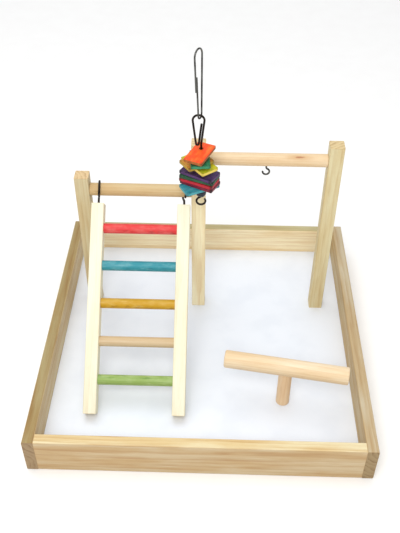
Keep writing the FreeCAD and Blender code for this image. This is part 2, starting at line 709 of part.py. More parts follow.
def build_t_perch():
    """A thick bar on a short stem, held to the board by the one screw that it turns on."""
    x = "Layout.t_perch_x"
    y = "Layout.t_perch_y"
    screw = fastener("t_perch_screw", "Sizes.screw_diameter", "Sizes.screw_head", "Sizes.screw_length")
    place(screw, x, y)
    node(screw, "t_perch_screw")
    stem = dowel(
        "t_perch_stem_blank",
        "XY_Plane",
        "Sizes.t_stem_diameter",
        "Layout.t_stem_length",
        "Sizes.perch_chamfer",
    )
    place(stem, x, y, "Layout.t_stem_z + Layout.t_stem_length / 2")
    seated_stem = seat("t_perch_stem", stem, [screw])
    bar = dowel(
        "t_perch_bar_blank",
        "YZ_Plane",
        "Sizes.t_bar_diameter",
        "Sizes.t_bar_length",
        "Sizes.t_bar_chamfer",
    )
    place(bar, x, y, "Layout.t_bar_z", "rotation(vector(0; 0; 1); -Sizes.t_bar_turn_angle * 1 deg)")
    seat("t_perch_bar", bar, [seated_stem])
    room = fastener(
        "t_perch_screw_room",
        "Sizes.screw_diameter",
        "Sizes.screw_head",
        "Sizes.screw_length",
        "Sizes.screw_play",
    )
    place(room, x, y)
    return room


def build_toy_eye():
    """The screw eye that stands out of the middle post and holds the toy's wire."""
    shank = "Sizes.toy_eye_thread + Layout.post_front - Layout.toy_y - Layout.toy_eye_reach"
    eye = bent_wire(
        "toy_screw_eye",
        "Sizes.toy_eye_wire",
        ring_path(shank, "Sizes.toy_eye_bend", "Layout.toy_eye_ring", "Sizes.toy_eye_wrap_angle"),
    )
    place(
        eye,
        "Layout.toy_x",
        "Layout.post_front + Sizes.toy_eye_thread",
        "Layout.toy_eye_z",
        "rotation(vector(1; 0; 0); 90 deg) * rotation(vector(0; 0; 1); 90 deg)"
        " * rotation(vector(0; 0; 1); -90 deg)",
    )
    return node(eye, "toy_screw_eye")


def build_toy_wire():
    """One wire: a folded end, a tall loop, the stem through the tiles and a ring below them."""
    swing = "acos(Sizes.toy_ring_bend / (Sizes.toy_ring_bend + Sizes.toy_ring_radius))"
    flare = "Layout.loop_flare_angle"
    wire = bent_wire(
        "toy_wire",
        "Sizes.toy_wire",
        [
            bend_right("Sizes.toy_tail_bend", flare),
            line("Sizes.toy_tail"),
            bend_right("Sizes.toy_fold_radius", f"180 deg - 2 * {flare}"),
            line("Layout.left_strand"),
            bend_right("Sizes.toy_loop_radius", f"180 deg + 2 * {flare}"),
            line("Layout.right_strand"),
            bend_left("Sizes.toy_neck_bend", flare),
            line("Layout.toy_stem_length"),
            bend_right("Sizes.toy_ring_bend", swing),
            bend_left("Sizes.toy_ring_radius", "Sizes.toy_ring_wrap_angle * 1 deg"),
        ],
        upwards=False,
    )
    place(wire, "Layout.toy_end_x", "Layout.toy_y", "Layout.toy_end_z")
    node(wire, "toy_wire")


def tile_body(name, length, hole, hole_x="0", hole_y="0"):
    """A flat bevelled tile with one round hole."""
    body = new_body(name)
    outline = new_sketch(body, "XY_Plane", "outline")
    draw_rectangle(outline, length, "Sizes.tile_width")
    pad = body.newObject("PartDesign::Pad", f"{name}_pad")
    pad.Profile = outline
    pad.Midplane = True
    bind(pad, Length="Sizes.tile_thickness")
    doc.recompute()
    bevel = body.newObject("PartDesign::Chamfer", f"{name}_bevel")
    bevel.Base = (pad, ["Edge1"])
    bevel.UseAllEdges = True
    bind(bevel, Size="Sizes.tile_bevel")
    doc.recompute()
    drilling = new_sketch(body, "XY_Plane", "drilling")
    centre = Vector(value_of(hole_x), value_of(hole_y), 0)
    circle = drilling.addGeometry(Part.Circle(centre, Vector(0, 0, 1), value_of(hole) / 2), False)
    limit(drilling, "Diameter", (circle, value_of(hole)), hole)
    limit(drilling, "DistanceX", (-1, 1, circle, 3, centre.x), hole_x)
    limit(drilling, "DistanceY", (-1, 1, circle, 3, centre.y), hole_y)
    pocket = body.newObject("PartDesign::Pocket", f"{name}_pocket")
    pocket.Profile = drilling
    pocket.Type = "ThroughAll"
    pocket.Midplane = True
    doc.recompute()
    return body


def thread_tile(body, turn, hole_x, hole_y, x, y, z):
    """Turn a tile, then carry its hole's centre to a place on the wire."""
    hole = f"{turn} * vector({hole_x}; {hole_y}; 0)"
    body.setExpression("Placement", f"placement(vector({x}; {y}; {z}) - {hole}; {turn})")


def build_top_tile():
    """The tile that leans a little at the top of the stack."""
    hole = ("Sizes.top_tile_hole_back", "Sizes.top_tile_hole_side")
    body = tile_body("tile_orange", "Sizes.top_tile_length", "Sizes.top_tile_hole", *hole)
    turn = (
        "rotation(vector(0; 0; 1); Sizes.top_tile_turn_angle * 1 deg)"
        " * rotation(vector(0; 1; 0); -Sizes.top_tile_lean_angle * 1 deg)"
    )
    thread_tile(body, turn, *hole, "Layout.toy_x", "Layout.toy_y", "Layout.top_tile_z")
    node(body, "tile_orange")


def build_tiles():
    """Three tiles that rest on the screw eye, and five that hang on the bead."""
    kinds = {
        "whole": ("Sizes.tile_length", "0 * Sizes.tile_length"),
        "short": ("Sizes.short_tile_length", "Sizes.short_tile_hole_back"),
    }
    levels = [f"Layout.lime_z + {2 - i} * Layout.tile_pitch" for i in range(len(TILES_ABOVE_EYE))]
    levels += [f"Layout.purple_z - {i} * Layout.tile_pitch" for i in range(len(TILES_BELOW_EYE))]
    for (name, kind, angle, right, back), level in zip(TILES_ABOVE_EYE + TILES_BELOW_EYE, levels):
        length, hole_x = kinds[kind]
        body = tile_body(name, length, "Sizes.tile_hole", hole_x)
        x = f"Layout.toy_x + {right} * Layout.tile_play"
        y = f"Layout.toy_y + {back} * Layout.tile_play"
        thread_tile(body, f"rotation(vector(0; 0; 1); {angle} deg)", hole_x, "0", x, y, level)
        node(body, name)


def build_bead():
    """The round stop bead under the tiles."""
    ball = doc.addObject("Part::Sphere", "toy_bead_ball")
    bind(ball, Radius="Sizes.bead_diameter / 2")
    band = doc.addObject("Part::Cylinder", "toy_bead_band")
    bind(band, Radius="Sizes.bead_diameter", Height="Sizes.bead_height")
    place(band, z="-Sizes.bead_height / 2")
    trimmed = doc.addObject("Part::Common", "toy_bead_trimmed")
    trimmed.Base = ball
    trimmed.Tool = band
    bore = doc.addObject("Part::Cylinder", "toy_bead_bore")
    bind(bore, Radius="Sizes.bead_hole / 2", Height="2 * Sizes.bead_height")
    place(bore, z="-Sizes.bead_height")
    bead = doc.addObject("Part::Cut", "toy_bead")
    bead.Base = trimmed
    bead.Tool = bore
    place(bead, "Layout.toy_x", "Layout.toy_y", "Layout.bead_z")
    node(bead, "toy_bead")


def build_clip():
    """A long wire snap that grips the loop's top, with a springy leg that opens inwards."""
    turn = (
        "rotation(vector(0; 1; 0); -Sizes.clip_lean_angle * 1 deg)"
        " * rotation(vector(0; 0; 1); Sizes.clip_turn_angle * 1 deg)"
    )
    foot = "-Sizes.clip_foot_radius"
    frame = bent_wire(
        "snap_clip",
        "Sizes.clip_wire",
        [
            bend_left("Sizes.clip_foot_radius", "180 deg - Layout.clip_flare_angle"),
            line("Sizes.clip_leg"),
            bend_left("Sizes.clip_top_radius", "180 deg + Layout.clip_flare_angle"),
            line("Sizes.clip_hook_leg"),
        ],
        foot,
        upwards=False,
    )
    place(frame, "Layout.clip_x", "Layout.toy_y", "Layout.clip_z", turn)
    node(frame, "snap_clip")
    gate = bent_wire("snap_clip_gate", "Sizes.clip_wire", [line("Sizes.clip_gate_length")], foot)
    gate.setExpression(
        "Placement",
        "placement(vector(Layout.clip_x; Layout.toy_y; Layout.clip_z)"
        f" + {turn} * vector(0; 0; Sizes.clip_gate_foot_gap); {turn})",
    )
    node(gate, "snap_clip_gate")


def check_and_export():
    """Check every object, then write each piece to its own file."""
    doc.recompute()
    for item in doc.Objects:
        if "Invalid" in item.State or "Error" in item.State:
            raise RuntimeError(f"{item.Label} did not recompute: {item.State}")
    for piece in NODES:
        if piece.Shape.isNull() or not piece.Shape.isValid() or not piece.Shape.Solids:
            raise RuntimeError(f"{piece.Label} has no sound shape")
    os.makedirs("parts", exist_ok=True)
    for piece in NODES:
        piece.Shape.exportStep(f"parts/{piece.Label}.step")
        print(f"{piece.Label}: {len(piece.Shape.Solids)} solid(s), {piece.Shape.Volume:.1f} mm3")


sheet = fill_sheet()
layout = fill_layout()
nails = build_nails()
post_screws = build_post_screws()
perch_screws = build_perch_screws()
t_screw_room = build_t_perch()
build_tray(list(nails), [post_screws, t_screw_room])
toy_eye = build_toy_eye()
cup_hook = build_cup_hook()
build_posts(post_screws, perch_screws, toy_eye)
build_perches(perch_screws, cup_hook)
build_ladder()
build_toy_wire()
build_top_tile()
build_tiles()
build_bead()
build_clip()
check_and_export()
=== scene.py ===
"""Looks of a parrot play stand: a timber tray with posts, perches, a ladder, a T perch and a toy.

Lengths in the classes are millimetres, and meshes are in metres.
"""

import json
import logging
import math
from dataclasses import dataclass, replace
from enum import Enum
from typing import Any, ClassVar, Iterable

import bpy
import numpy as np
from mathutils import Matrix, Vector

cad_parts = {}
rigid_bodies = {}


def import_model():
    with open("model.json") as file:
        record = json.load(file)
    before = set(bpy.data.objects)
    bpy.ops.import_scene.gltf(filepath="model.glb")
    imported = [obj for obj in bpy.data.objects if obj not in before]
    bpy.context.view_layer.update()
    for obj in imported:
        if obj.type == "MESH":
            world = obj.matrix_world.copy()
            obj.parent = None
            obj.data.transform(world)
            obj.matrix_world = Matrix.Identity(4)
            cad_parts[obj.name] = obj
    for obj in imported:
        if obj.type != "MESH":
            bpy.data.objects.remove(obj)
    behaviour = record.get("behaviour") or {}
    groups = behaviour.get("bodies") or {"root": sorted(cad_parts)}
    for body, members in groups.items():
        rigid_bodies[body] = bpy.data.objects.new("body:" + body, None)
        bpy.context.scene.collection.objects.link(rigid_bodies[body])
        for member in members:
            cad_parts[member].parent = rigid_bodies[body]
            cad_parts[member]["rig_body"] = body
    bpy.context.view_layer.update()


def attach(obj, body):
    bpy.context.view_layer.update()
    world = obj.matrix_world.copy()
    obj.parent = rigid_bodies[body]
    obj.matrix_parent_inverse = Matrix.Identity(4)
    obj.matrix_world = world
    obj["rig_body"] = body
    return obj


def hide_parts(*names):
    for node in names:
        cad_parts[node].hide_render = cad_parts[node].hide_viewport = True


LOG = logging.getLogger("play_stand")
MM = 0.001
Socket = bpy.types.NodeSocket
RGBA = tuple[float, float, float, float]
Point = tuple[float, float, float]

# The least upright part of a unit normal that still counts as facing up.
FACING_UP = 0.99
# How a display colour is turned into a linear one: a straight part, then a power.
TOE, TOE_SLOPE, LIFT, GAMMA = 0.04045, 12.92, 0.055, 2.4


def shade(code: str) -> RGBA:
    """Turn a display colour such as "E8D09A" into the linear colour that a shader wants.

    Args:
        code: Six hexadecimal digits, red first.

    Returns:
        The linear red, green, blue and a full alpha.
    """
    display = np.array([int(code[i : i + 2], 16) for i in (0, 2, 4)]) / 255.0
    linear = np.where(display <= TOE, display / TOE_SLOPE, ((display + LIFT) / (1 + LIFT)) ** GAMMA)
    return (float(linear[0]), float(linear[1]), float(linear[2]), 1.0)


def grey(level: float) -> RGBA:
    """Return a grey of one linear level."""
    return (level, level, level, 1.0)


# ---- Where each piece lies


def corners_of(node: str) -> np.ndarray:
    """Read the vertices of a CAD node.

    Args:
        node: The CAD node.

    Returns:
        One row for each vertex, in millimetres.
    """
    mesh = bpy.data.objects[node].data
    points = np.empty(len(mesh.vertices) * 3, np.float32)
    mesh.vertices.foreach_get("co", points)
    return points.reshape(-1, 3).astype(float) / MM


def outline_turn(flat: np.ndarray, step: float = 0.1) -> float:
    """Find how far a rectangular outline is turned.

    The outline is turned by every angle from -45 to 45 degrees, and the angle whose upright
    bounding rectangle has the least area is the answer.

    Args:
        flat: The outline's points, one row each.
        step: How far apart the angles are, in degrees.

    Returns:
        The turn in radians.
    """
    points = np.unique(flat.round(2), axis=0)
    angles = np.radians(np.arange(-45.0, 45.0, step))
    along = np.outer(np.cos(angles), points[:, 0]) + np.outer(np.sin(angles), points[:, 1])
    across = np.outer(np.cos(angles), points[:, 1]) - np.outer(np.sin(angles), points[:, 0])
    area = np.ptp(along, axis=1) * np.ptp(across, axis=1)
    return float(angles[np.argmin(area)])


class Turned(Enum):
    """How a piece is turned away from the tray's sides: about an axis, or lying on a face."""

    NOT = -1
    ABOUT_X = 0
    ABOUT_Z = 2
    ON_FACE = 3


def broad_face(node: str) -> np.ndarray:
    """Find which way a slab faces: the mean normal of its upper faces, weighted by area.

    Args:
        node: The CAD node.

    Returns:
        The unit normal.
    """
    faces = bpy.data.objects[node].data.polygons
    normals = np.array([face.normal for face in faces])
    areas = np.array([face.area for face in faces])
    total = (normals * (areas * (normals[:, 2] > FACING_UP))[:, None]).sum(0)
    return total / np.linalg.norm(total)


@dataclass(frozen=True)
class Lie:
    """How a piece lies: its centre, its half sizes, and its axes with the grain's one last."""

    centre: np.ndarray
    axes: np.ndarray
    half: np.ndarray

    @classmethod
    def of(cls, node: str, turned: Turned = Turned.NOT) -> "Lie":
        """Read a CAD node's lie from its mesh.

        Args:
            node: The CAD node.
            turned: How it is turned away from the tray's sides.

        Returns:
            The lie, in millimetres: the last axis is the longest side, the middle one the
            shortest.
        """
        points = corners_of(node)
        basis = np.eye(3)
        if turned is Turned.ON_FACE:
            up = broad_face(node)
            side = np.cross((0.0, 1.0, 0.0), up)
            side /= np.linalg.norm(side)
            basis = np.stack([side, np.cross(up, side), up], axis=1)
        if turned is not Turned.NOT:
            about = min(turned.value, 2)
            first, second = [(about + k) % 3 for k in (1, 2)]
            angle = outline_turn((points @ basis)[:, [first, second]])
            turn = np.eye(3)
            turn[[first, second], first] = math.cos(angle), math.sin(angle)
            turn[[first, second], second] = -math.sin(angle), math.cos(angle)
            basis = basis @ turn
        inside = points @ basis
        low, high = inside.min(0), inside.max(0)
        order = np.argsort(high - low)[[1, 0, 2]]
        centre = basis @ ((low + high) / 2)
        axes = basis[:, order]
        axes[:, 0] *= np.sign(np.linalg.det(axes))
        return cls(centre, axes, ((high - low) / 2)[order])

    def inward(self, points: np.ndarray) -> np.ndarray:
        """Carry points of the object into the piece's own axes."""
        return (points - self.centre) @ self.axes

    def outward(self, points: np.ndarray) -> np.ndarray:
        """Carry points of the piece's own axes out to the object."""
        return points @ self.axes.T + self.centre


# ---- Node graphs


class Graph:
    """A node tree that is filled one node at a time."""

    def __init__(self, tree: bpy.types.NodeTree) -> None:
        """Keep the tree that the nodes go into."""
        self.tree = tree

    def add(
        self, kind: str, inputs: dict[Any, Any] | None = None, **settings: Any
    ) -> bpy.types.Node:
        """Add a node.

        Args:
            kind: The node's type.
            inputs: A value or another node's socket for each named or numbered input.
            **settings: The node's own options.

        Returns:
            The new node.
        """
        node = self.tree.nodes.new(kind)
        for name, value in settings.items():
            setattr(node, name, value)
        for key, value in (inputs or {}).items():
            if isinstance(value, Socket):
                self.tree.links.new(value, node.inputs[key])
            else:
                node.inputs[key].default_value = value
        return node

    def sum(self, operation: str, first: Any, second: Any = 0.0, clamp: bool = False) -> Socket:
        """Work out one number from two with a Math node."""
        values = {0: first, 1: second}
        return self.add("ShaderNodeMath", values, operation=operation, use_clamp=clamp).outputs[0]

    def times(self, first: Any, second: Any) -> Socket:
        """Multiply two numbers."""
        return self.sum("MULTIPLY", first, second)

    def moved(self, operation: str, vector: Any, other: Any = (0.0, 0.0, 0.0)) -> bpy.types.Node:
        """Work out a vector, or its length, from one or two with a Vector Math node."""
        return self.add("ShaderNodeVectorMath", {0: vector, 1: other}, operation=operation)

    def stretch(self, vector: Socket, factors: Point) -> Socket:
        """Scale a vector by a factor for each axis."""
        return self.moved("MULTIPLY", vector, factors).outputs[0]

    def shift(self, vector: Socket, by: Any) -> Socket:
        """Add another vector to a vector."""
        return self.moved("ADD", vector, by).outputs[0]

    def length(self, vector: Socket) -> Socket:
        """Measure a vector."""
        return self.moved("LENGTH", vector).outputs["Value"]

    def parts(self, vector: Socket) -> list[Socket]:
        """Split a vector into its three numbers."""
        return list(self.add("ShaderNodeSeparateXYZ", {0: vector}).outputs)

    def noise(
        self, vector: Socket, scale: float, detail: float = 2.0, roughness: float = 0.5
    ) -> Socket:
        """Draw a cloudy value between 0 and 1."""
        values = {"Vector": vector, "Scale": scale, "Detail": detail, "Roughness": roughness}
        return self.add("ShaderNodeTexNoise", values).outputs["Fac"]

    def remap(
        self, value: Any, low: Any, high: Any, to_low: float = 0.0, to_high: float = 1.0
    ) -> Socket:
        """Bring the range from low to high to another range, with a smooth start and end."""
        values = {0: value, 1: low, 2: high, 3: to_low, 4: to_high}
        return self.add("ShaderNodeMapRange", values, interpolation_type="SMOOTHSTEP").outputs[0]

    def mix(self, factor: Any, first: Any, second: Any, blend: str = "MIX") -> Socket:
        """Mix two colours by a factor."""
        values = {0: factor, 6: first, 7: second}
        return self.add("ShaderNodeMix", values, data_type="RGBA", blend_type=blend).outputs[2]

    def stain(self, strength: Any, share: float, under: Any, over: RGBA) -> Socket:
        """Multiply a colour by another, as far as a strength times a share of it says."""
        return self.mix(self.sum("MULTIPLY", strength, share), under, over, "MULTIPLY")


@dataclass(frozen=True)
class Cloud:
    """A cloudy pattern: its repeats in a millimetre along each axis, the grain's last.

    A fade gives the values at which a mark begins and is full, and what these stand for where
    that isn't 0 and 1.
    """

    repeats: Point
    detail: float = 2.0
    roughness: float = 0.5
    fade: tuple[float, ...] = ()
    offset: Point | None = None

    def over(self, graph: Graph, place: Socket) -> Socket:
        """Draw the pattern.

        Args:
            graph: The graph to draw it in.
            place: The coordinates, in millimetres.

        Returns:
            A value between 0 and 1.
        """
        spread = graph.stretch(place, self.repeats)
        if self.offset:
            spread = graph.shift(spread, self.offset)
        value = graph.noise(spread, 1.0, self.detail, self.roughness)
        return graph.remap(value, *self.fade) if self.fade else value


# Timber: how its rings wander and grow faint, its fibres, tones and pores.
WANDER = Cloud((0.09, 0.09, 0.006))
FAINT_RINGS = Cloud((0.16, 0.16, 0.02), fade=(0.3, 0.7, 0.3, 1.0))
FIBRE = Cloud((2.6, 2.6, 0.05), 4.0, 0.62, (0.28, 0.72))
TONE = Cloud((0.10, 0.10, 0.014), 3.0, fade=(0.36, 0.64))
PORE = Cloud((4.5, 4.5, 0.22), 1.0, fade=(0.66, 0.76))
# Dye: where it is thin, where it has rubbed off, and where it pools.
WASH = Cloud((0.22, 0.22, 0.09), 3.0, 0.6, (0.4, 0.7))
RUBBING = Cloud((1.3, 1.3, 0.4), 3.0, 0.6, (0.5, 0.75))
POOL = Cloud((0.3, 0.3, 0.14), fade=(0.5, 0.78), offset=(7.0, 3.0, 5.0))
# Other marks: broken edges, a knot's ragged rim, tarnish and scratches, and a board's flecks.
BROKEN = Cloud((0.45, 0.45, 0.45), 3.0)
RAGGED = Cloud((0.9, 0.9, 0.9), 3.0)
TARNISH = Cloud((0.12, 0.12, 0.12), 3.0, fade=(0.42, 0.68))
SCRATCH = Cloud((1.4, 1.4, 0.3), fade=(0.45, 0.75))
FLECK = Cloud((0.9, 0.9, 0.9), 5.0, 0.75)
FLECK_FADE = (0.35, 0.7)
# A ring darkens with this power of its depth, up to this share of it.
RING_RISE, RING_DROP = 2.2, 0.90
# How little a step along the grain counts towards the pith, and towards a knot's centre.
ALONG_PITH = (1.0, 1.0, 0.015)
ALONG_KNOT = (1.0, 1.0, 0.2)
# Where a mark is full and where it ends: in millimetres from an end, from a narrow side (the
# other way round) and from a corner, and in a knot's radii.
END_FADE, SIDE_FADE, CORNER_FADE = (0.04, 0.16), (0.25, 0.6), (0.5, 3.4)
CORE_FADE, HALO_FADE = (0.55, 1.0), (0.8, 2.6)


class Effect:
    """A shared node group with named inputs and outputs."""

    def __init__(self, name: str, vectors: str, values: str, outputs: str) -> None:
        """Make the group and its sockets, each kind named in one line of words.

        Args:
            name: The group's name.
            vectors: The inputs that are vectors.
            values: The inputs that are numbers.
            outputs: The outputs, all of them numbers.
        """
        self.tree = bpy.data.node_groups.new(name, "ShaderNodeTree")
        for words, way, kind in (
            (vectors, "INPUT", "NodeSocketVector"),
            (values, "INPUT", "NodeSocketFloat"),
            (outputs, "OUTPUT", "NodeSocketFloat"),
        ):
            for socket in words.split():
                self.tree.interface.new_socket(socket, in_out=way, socket_type=kind)
        self.graph = Graph(self.tree)
        self.given = self.graph.add("NodeGroupInput").outputs
        self.result = self.graph.add("NodeGroupOutput")

    def give(self, **values: Socket) -> None:
        """Link a socket to each named output."""
        for name, socket in values.items():
            self.tree.links.new(socket, self.result.inputs[name])

    def use(self, graph: Graph, **values: Any) -> dict[str, Socket]:
        """Place the group in another graph.

        Args:
            graph: The graph.
            **values: A value or a socket for each input.

        Returns:
            The outputs by name.
        """
        node = graph.add("ShaderNodeGroup", node_tree=self.tree)
        for name, value in values.items():
            socket = node.inputs[name]
            if isinstance(value, Socket):
                graph.tree.links.new(value, socket)
            else:
                socket.default_value = value
        return {socket.name: socket for socket in node.outputs}


class Effects:
    """The effects that the finishes share, each made once."""

    def __init__(self) -> None:
        """Make every group."""
        self.figure, self.edges, self.knot = self._figure(), self._edges(), self._knot()
        self.dye, self.tarnish = self._dye(), self._tarnish()

    @staticmethod
    def _figure() -> Effect:
        """Make growth rings round a pith line, long fibres, broad tones and short pores.

        Place is in millimetres with the grain along Z. A ring's depth is the distance from
        the pith line, bent by slow noise, over the spacing: its fraction rises through the
        pale early wood and drops after the dark late wood.

        Returns:
            The group.
        """
        given, marks = ("Place Pith Seed", "Spacing Bend"), "Rings Fibres Tone Pores"
        effect = Effect("timber_figure", *given, marks)
        graph, given = effect.graph, effect.given
        place = graph.shift(given["Place"], given["Seed"])
        off = graph.stretch(graph.shift(given["Place"], given["Pith"]), ALONG_PITH)
        bent = graph.times(WANDER.over(graph, place), given["Bend"])
        reach = graph.sum("ADD", bent, graph.length(off))
        depth = graph.sum("FRACT", graph.sum("DIVIDE", reach, given["Spacing"]))
        rise = graph.sum("POWER", depth, RING_RISE)
        drop = graph.remap(depth, RING_DROP, 1.0, 1.0, 0.0)
        strength = FAINT_RINGS.over(graph, place)
        effect.give(
            Rings=graph.times(graph.times(rise, drop), strength),
            Fibres=FIBRE.over(graph, place),
            Tone=TONE.over(graph, place),
            Pores=PORE.over(graph, place),
        )
        return effect

    @staticmethod
    def _edges() -> Effect:
        """Tell how near a point is to an edge, an end or a narrow side of a box-shaped piece.

        The distance to the nearest edge is the least, over the three pairs of sides, of the
        larger distance of the pair. A corner is near where the long and the wide way both
        run out. Noise breaks the lines up.

        Returns:
            The group.
        """
        effect = Effect("timber_edges", "Place Half", "Width Rough", "Edge End Side Corner")
        graph, given = effect.graph, effect.given
        size = graph.moved("ABSOLUTE", given["Place"]).outputs[0]
        room = graph.moved("SUBTRACT", given["Half"], size).outputs[0]
        x, y, z = graph.parts(room)
        pairs = [graph.sum("MAXIMUM", a, b) for a, b in ((x, y), (y, z), (z, x))]
        near = graph.sum("MINIMUM", graph.sum("MINIMUM", pairs[0], pairs[1]), pairs[2])
        broken = graph.sum("SUBTRACT", BROKEN.over(graph, given["Place"]), 0.5)
        offset = graph.times(broken, given["Rough"])
        corner = graph.sum("ADD", pairs[2], offset)
        effect.give(
            Edge=graph.remap(graph.sum("ADD", near, offset), 0.0, given["Width"], 1.0, 0.0),
            End=graph.remap(z, *END_FADE, 1.0, 0.0),
            Side=graph.remap(y, *SIDE_FADE),
            Corner=graph.remap(corner, *CORNER_FADE, 1.0, 0.0),
        )
        return effect

    @staticmethod
    def _knot() -> Effect:
        """Make a knot: an oval spot, its distance from the centre shortened along the grain.

        Returns:
            The group.
        """
        effect = Effect("timber_knot", "Place At", "Radius", "Core Halo")
        graph, given = effect.graph, effect.given
        gap = graph.moved("SUBTRACT", given["Place"], given["At"]).outputs[0]
        reach = graph.length(graph.stretch(gap, ALONG_KNOT))
        ragged = graph.times(RAGGED.over(graph, given["Place"]), 0.9)
        share = graph.sum("DIVIDE", graph.sum("ADD", reach, ragged), given["Radius"])
        effect.give(
            Core=graph.remap(share, *CORE_FADE, 1.0, 0.0),
            Halo=graph.remap(share, *HALO_FADE, 1.0, 0.0),
        )
        return effect

    @staticmethod
    def _dye() -> Effect:
        """Tell where a wood dye is thin, where it pools dark, and where it has rubbed off.

        Returns:
            The group.
        """
        effect = Effect("wood_dye", "Place Seed", "Fibres Edge Wear", "Thin Pooled Rubbed")
        graph, given = effect.graph, effect.given
        place = graph.shift(given["Place"], given["Seed"])
        rubbing = graph.times(RUBBING.over(graph, place), given["Edge"])
        effect.give(
            Thin=graph.times(given["Fibres"], WASH.over(graph, place)),
            Pooled=POOL.over(graph, place),
            Rubbed=graph.sum("MULTIPLY", rubbing, given["Wear"], clamp=True),
        )
        return effect

    @staticmethod
    def _tarnish() -> Effect:
        """Make cloudy tarnish and fine scratches, from noise at two sizes.

        Returns:
            The group.
        """
        effect = Effect("wire_tarnish", "Place Seed", "", "Tarnish Scratches")
        graph, given = effect.graph, effect.given
        place = graph.shift(given["Place"], given["Seed"])
        effect.give(
            Tarnish=TARNISH.over(graph, place),
            Scratches=SCRATCH.over(graph, place),
        )
        return effect


@dataclass
class Skin:
    """A material under way for one piece, in the piece's own millimetres."""

    effects: Effects
    name: str
    lie: Lie
    material: bpy.types.Material
    graph: Graph
    place: Socket
    shader: bpy.types.Node

    @classmethod
    def start(cls, effects: Effects, name: str, stuff: str, lie: Lie) -> "Skin":
        """Start a material.

        Args:
            effects: The shared node groups.
            name: The piece's name, which also seeds its patterns.
            stuff: What it is made of, in a word that ends the material's name.
            lie: How the piece lies.

        Returns:
            The material under way.
        """
        material = bpy.data.materials.new(f"{name}_{stuff}")
        material.use_nodes = True
        material.node_tree.nodes.clear()
        graph = Graph(material.node_tree)
        values = {
            "Vector": graph.add("ShaderNodeTexCoord").outputs["Object"],
            "Location": Vector(lie.centre * MM),
            "Rotation": Matrix(lie.axes.tolist()).to_euler("XYZ"),
            "Scale": (MM, MM, MM),
        }
        place = graph.add("ShaderNodeMapping", values, vector_type="TEXTURE").outputs[0]
        shader = graph.add("ShaderNodeBsdfPrincipled")
        output = graph.add("ShaderNodeOutputMaterial", {"Surface": shader.outputs[0]})
        output.is_active_output = True
        return cls(effects, name, lie, material, graph, place, shader)

    def use(self, effect: Effect, **values: Any) -> dict[str, Socket]:
        """Place an effect at the piece's own coordinates."""
        return effect.use(self.graph, Place=self.place, **values)

    def figure(self, edge_width: float, edge_rough: float, **values: Any) -> tuple[dict, dict]:
        """Place the wood's figure and tell where the piece's edges are.

        Args:
            edge_width: How far in the edges' wear reaches, in millimetres.
            edge_rough: How much it wavers.
            **values: The figure's own settings.

        Returns:
            The outputs of the figure and those of the edges, by name.
        """
        shape = {"Half": tuple(self.lie.half), "Width": edge_width, "Rough": edge_rough}
        look = self.use(self.effects.figure, Seed=seed_of(self.name), **values)
        return look, self.use(self.effects.edges, **shape)

    def end(
        self, colour: Socket, rough: Socket, relief: Socket, strength: float, depth: float
    ) -> bpy.types.Material:
        """Link a colour, a roughness and a relief to the shader.

        Args:
            colour: The base colour.
            rough: The roughness.
            relief: The height of the relief, from 0 to 1.
            strength: How strongly the relief shows.
            depth: How deep the relief is, in metres.

        Returns:
            The finished material.
        """
        values = {"Strength": strength, "Distance": depth, "Height": relief}
        normal = self.graph.add("ShaderNodeBump", values).outputs[0]
        links = {"Base Color": colour, "Roughness": rough, "Normal": normal}
        for name, socket in links.items():
            self.graph.tree.links.new(socket, self.shader.inputs[name])
        return self.material


def seed_of(name: str) -> tuple[float, float, float]:
    """Work out a fixed offset for a piece's patterns from its name."""
    total = sum((i + 3) * ord(letter) for i, letter in enumerate(name))
    return (total % 97 * 3.1, total % 89 * 2.3, total % 83 * 5.7)


# ---- Finishes


@dataclass(frozen=True)
class Knot:
    """A knot in a timber: its place in the piece's own millimetres, its radius and its tones."""

    at: Point
    radius: float
    colour: str = "8A5A38"
    halo: float = 0.6
    core: float = 0.85


WARM: RGBA = (0.90, 0.79, 0.64, 1.0)
LATE: RGBA = (0.74, 0.56, 0.38, 1.0)
END_LATE: RGBA = (0.50, 0.36, 0.24, 1.0)
# The near black that the tiles' corners are darkened towards.
CORNER_BLACK = shade("0A080C")


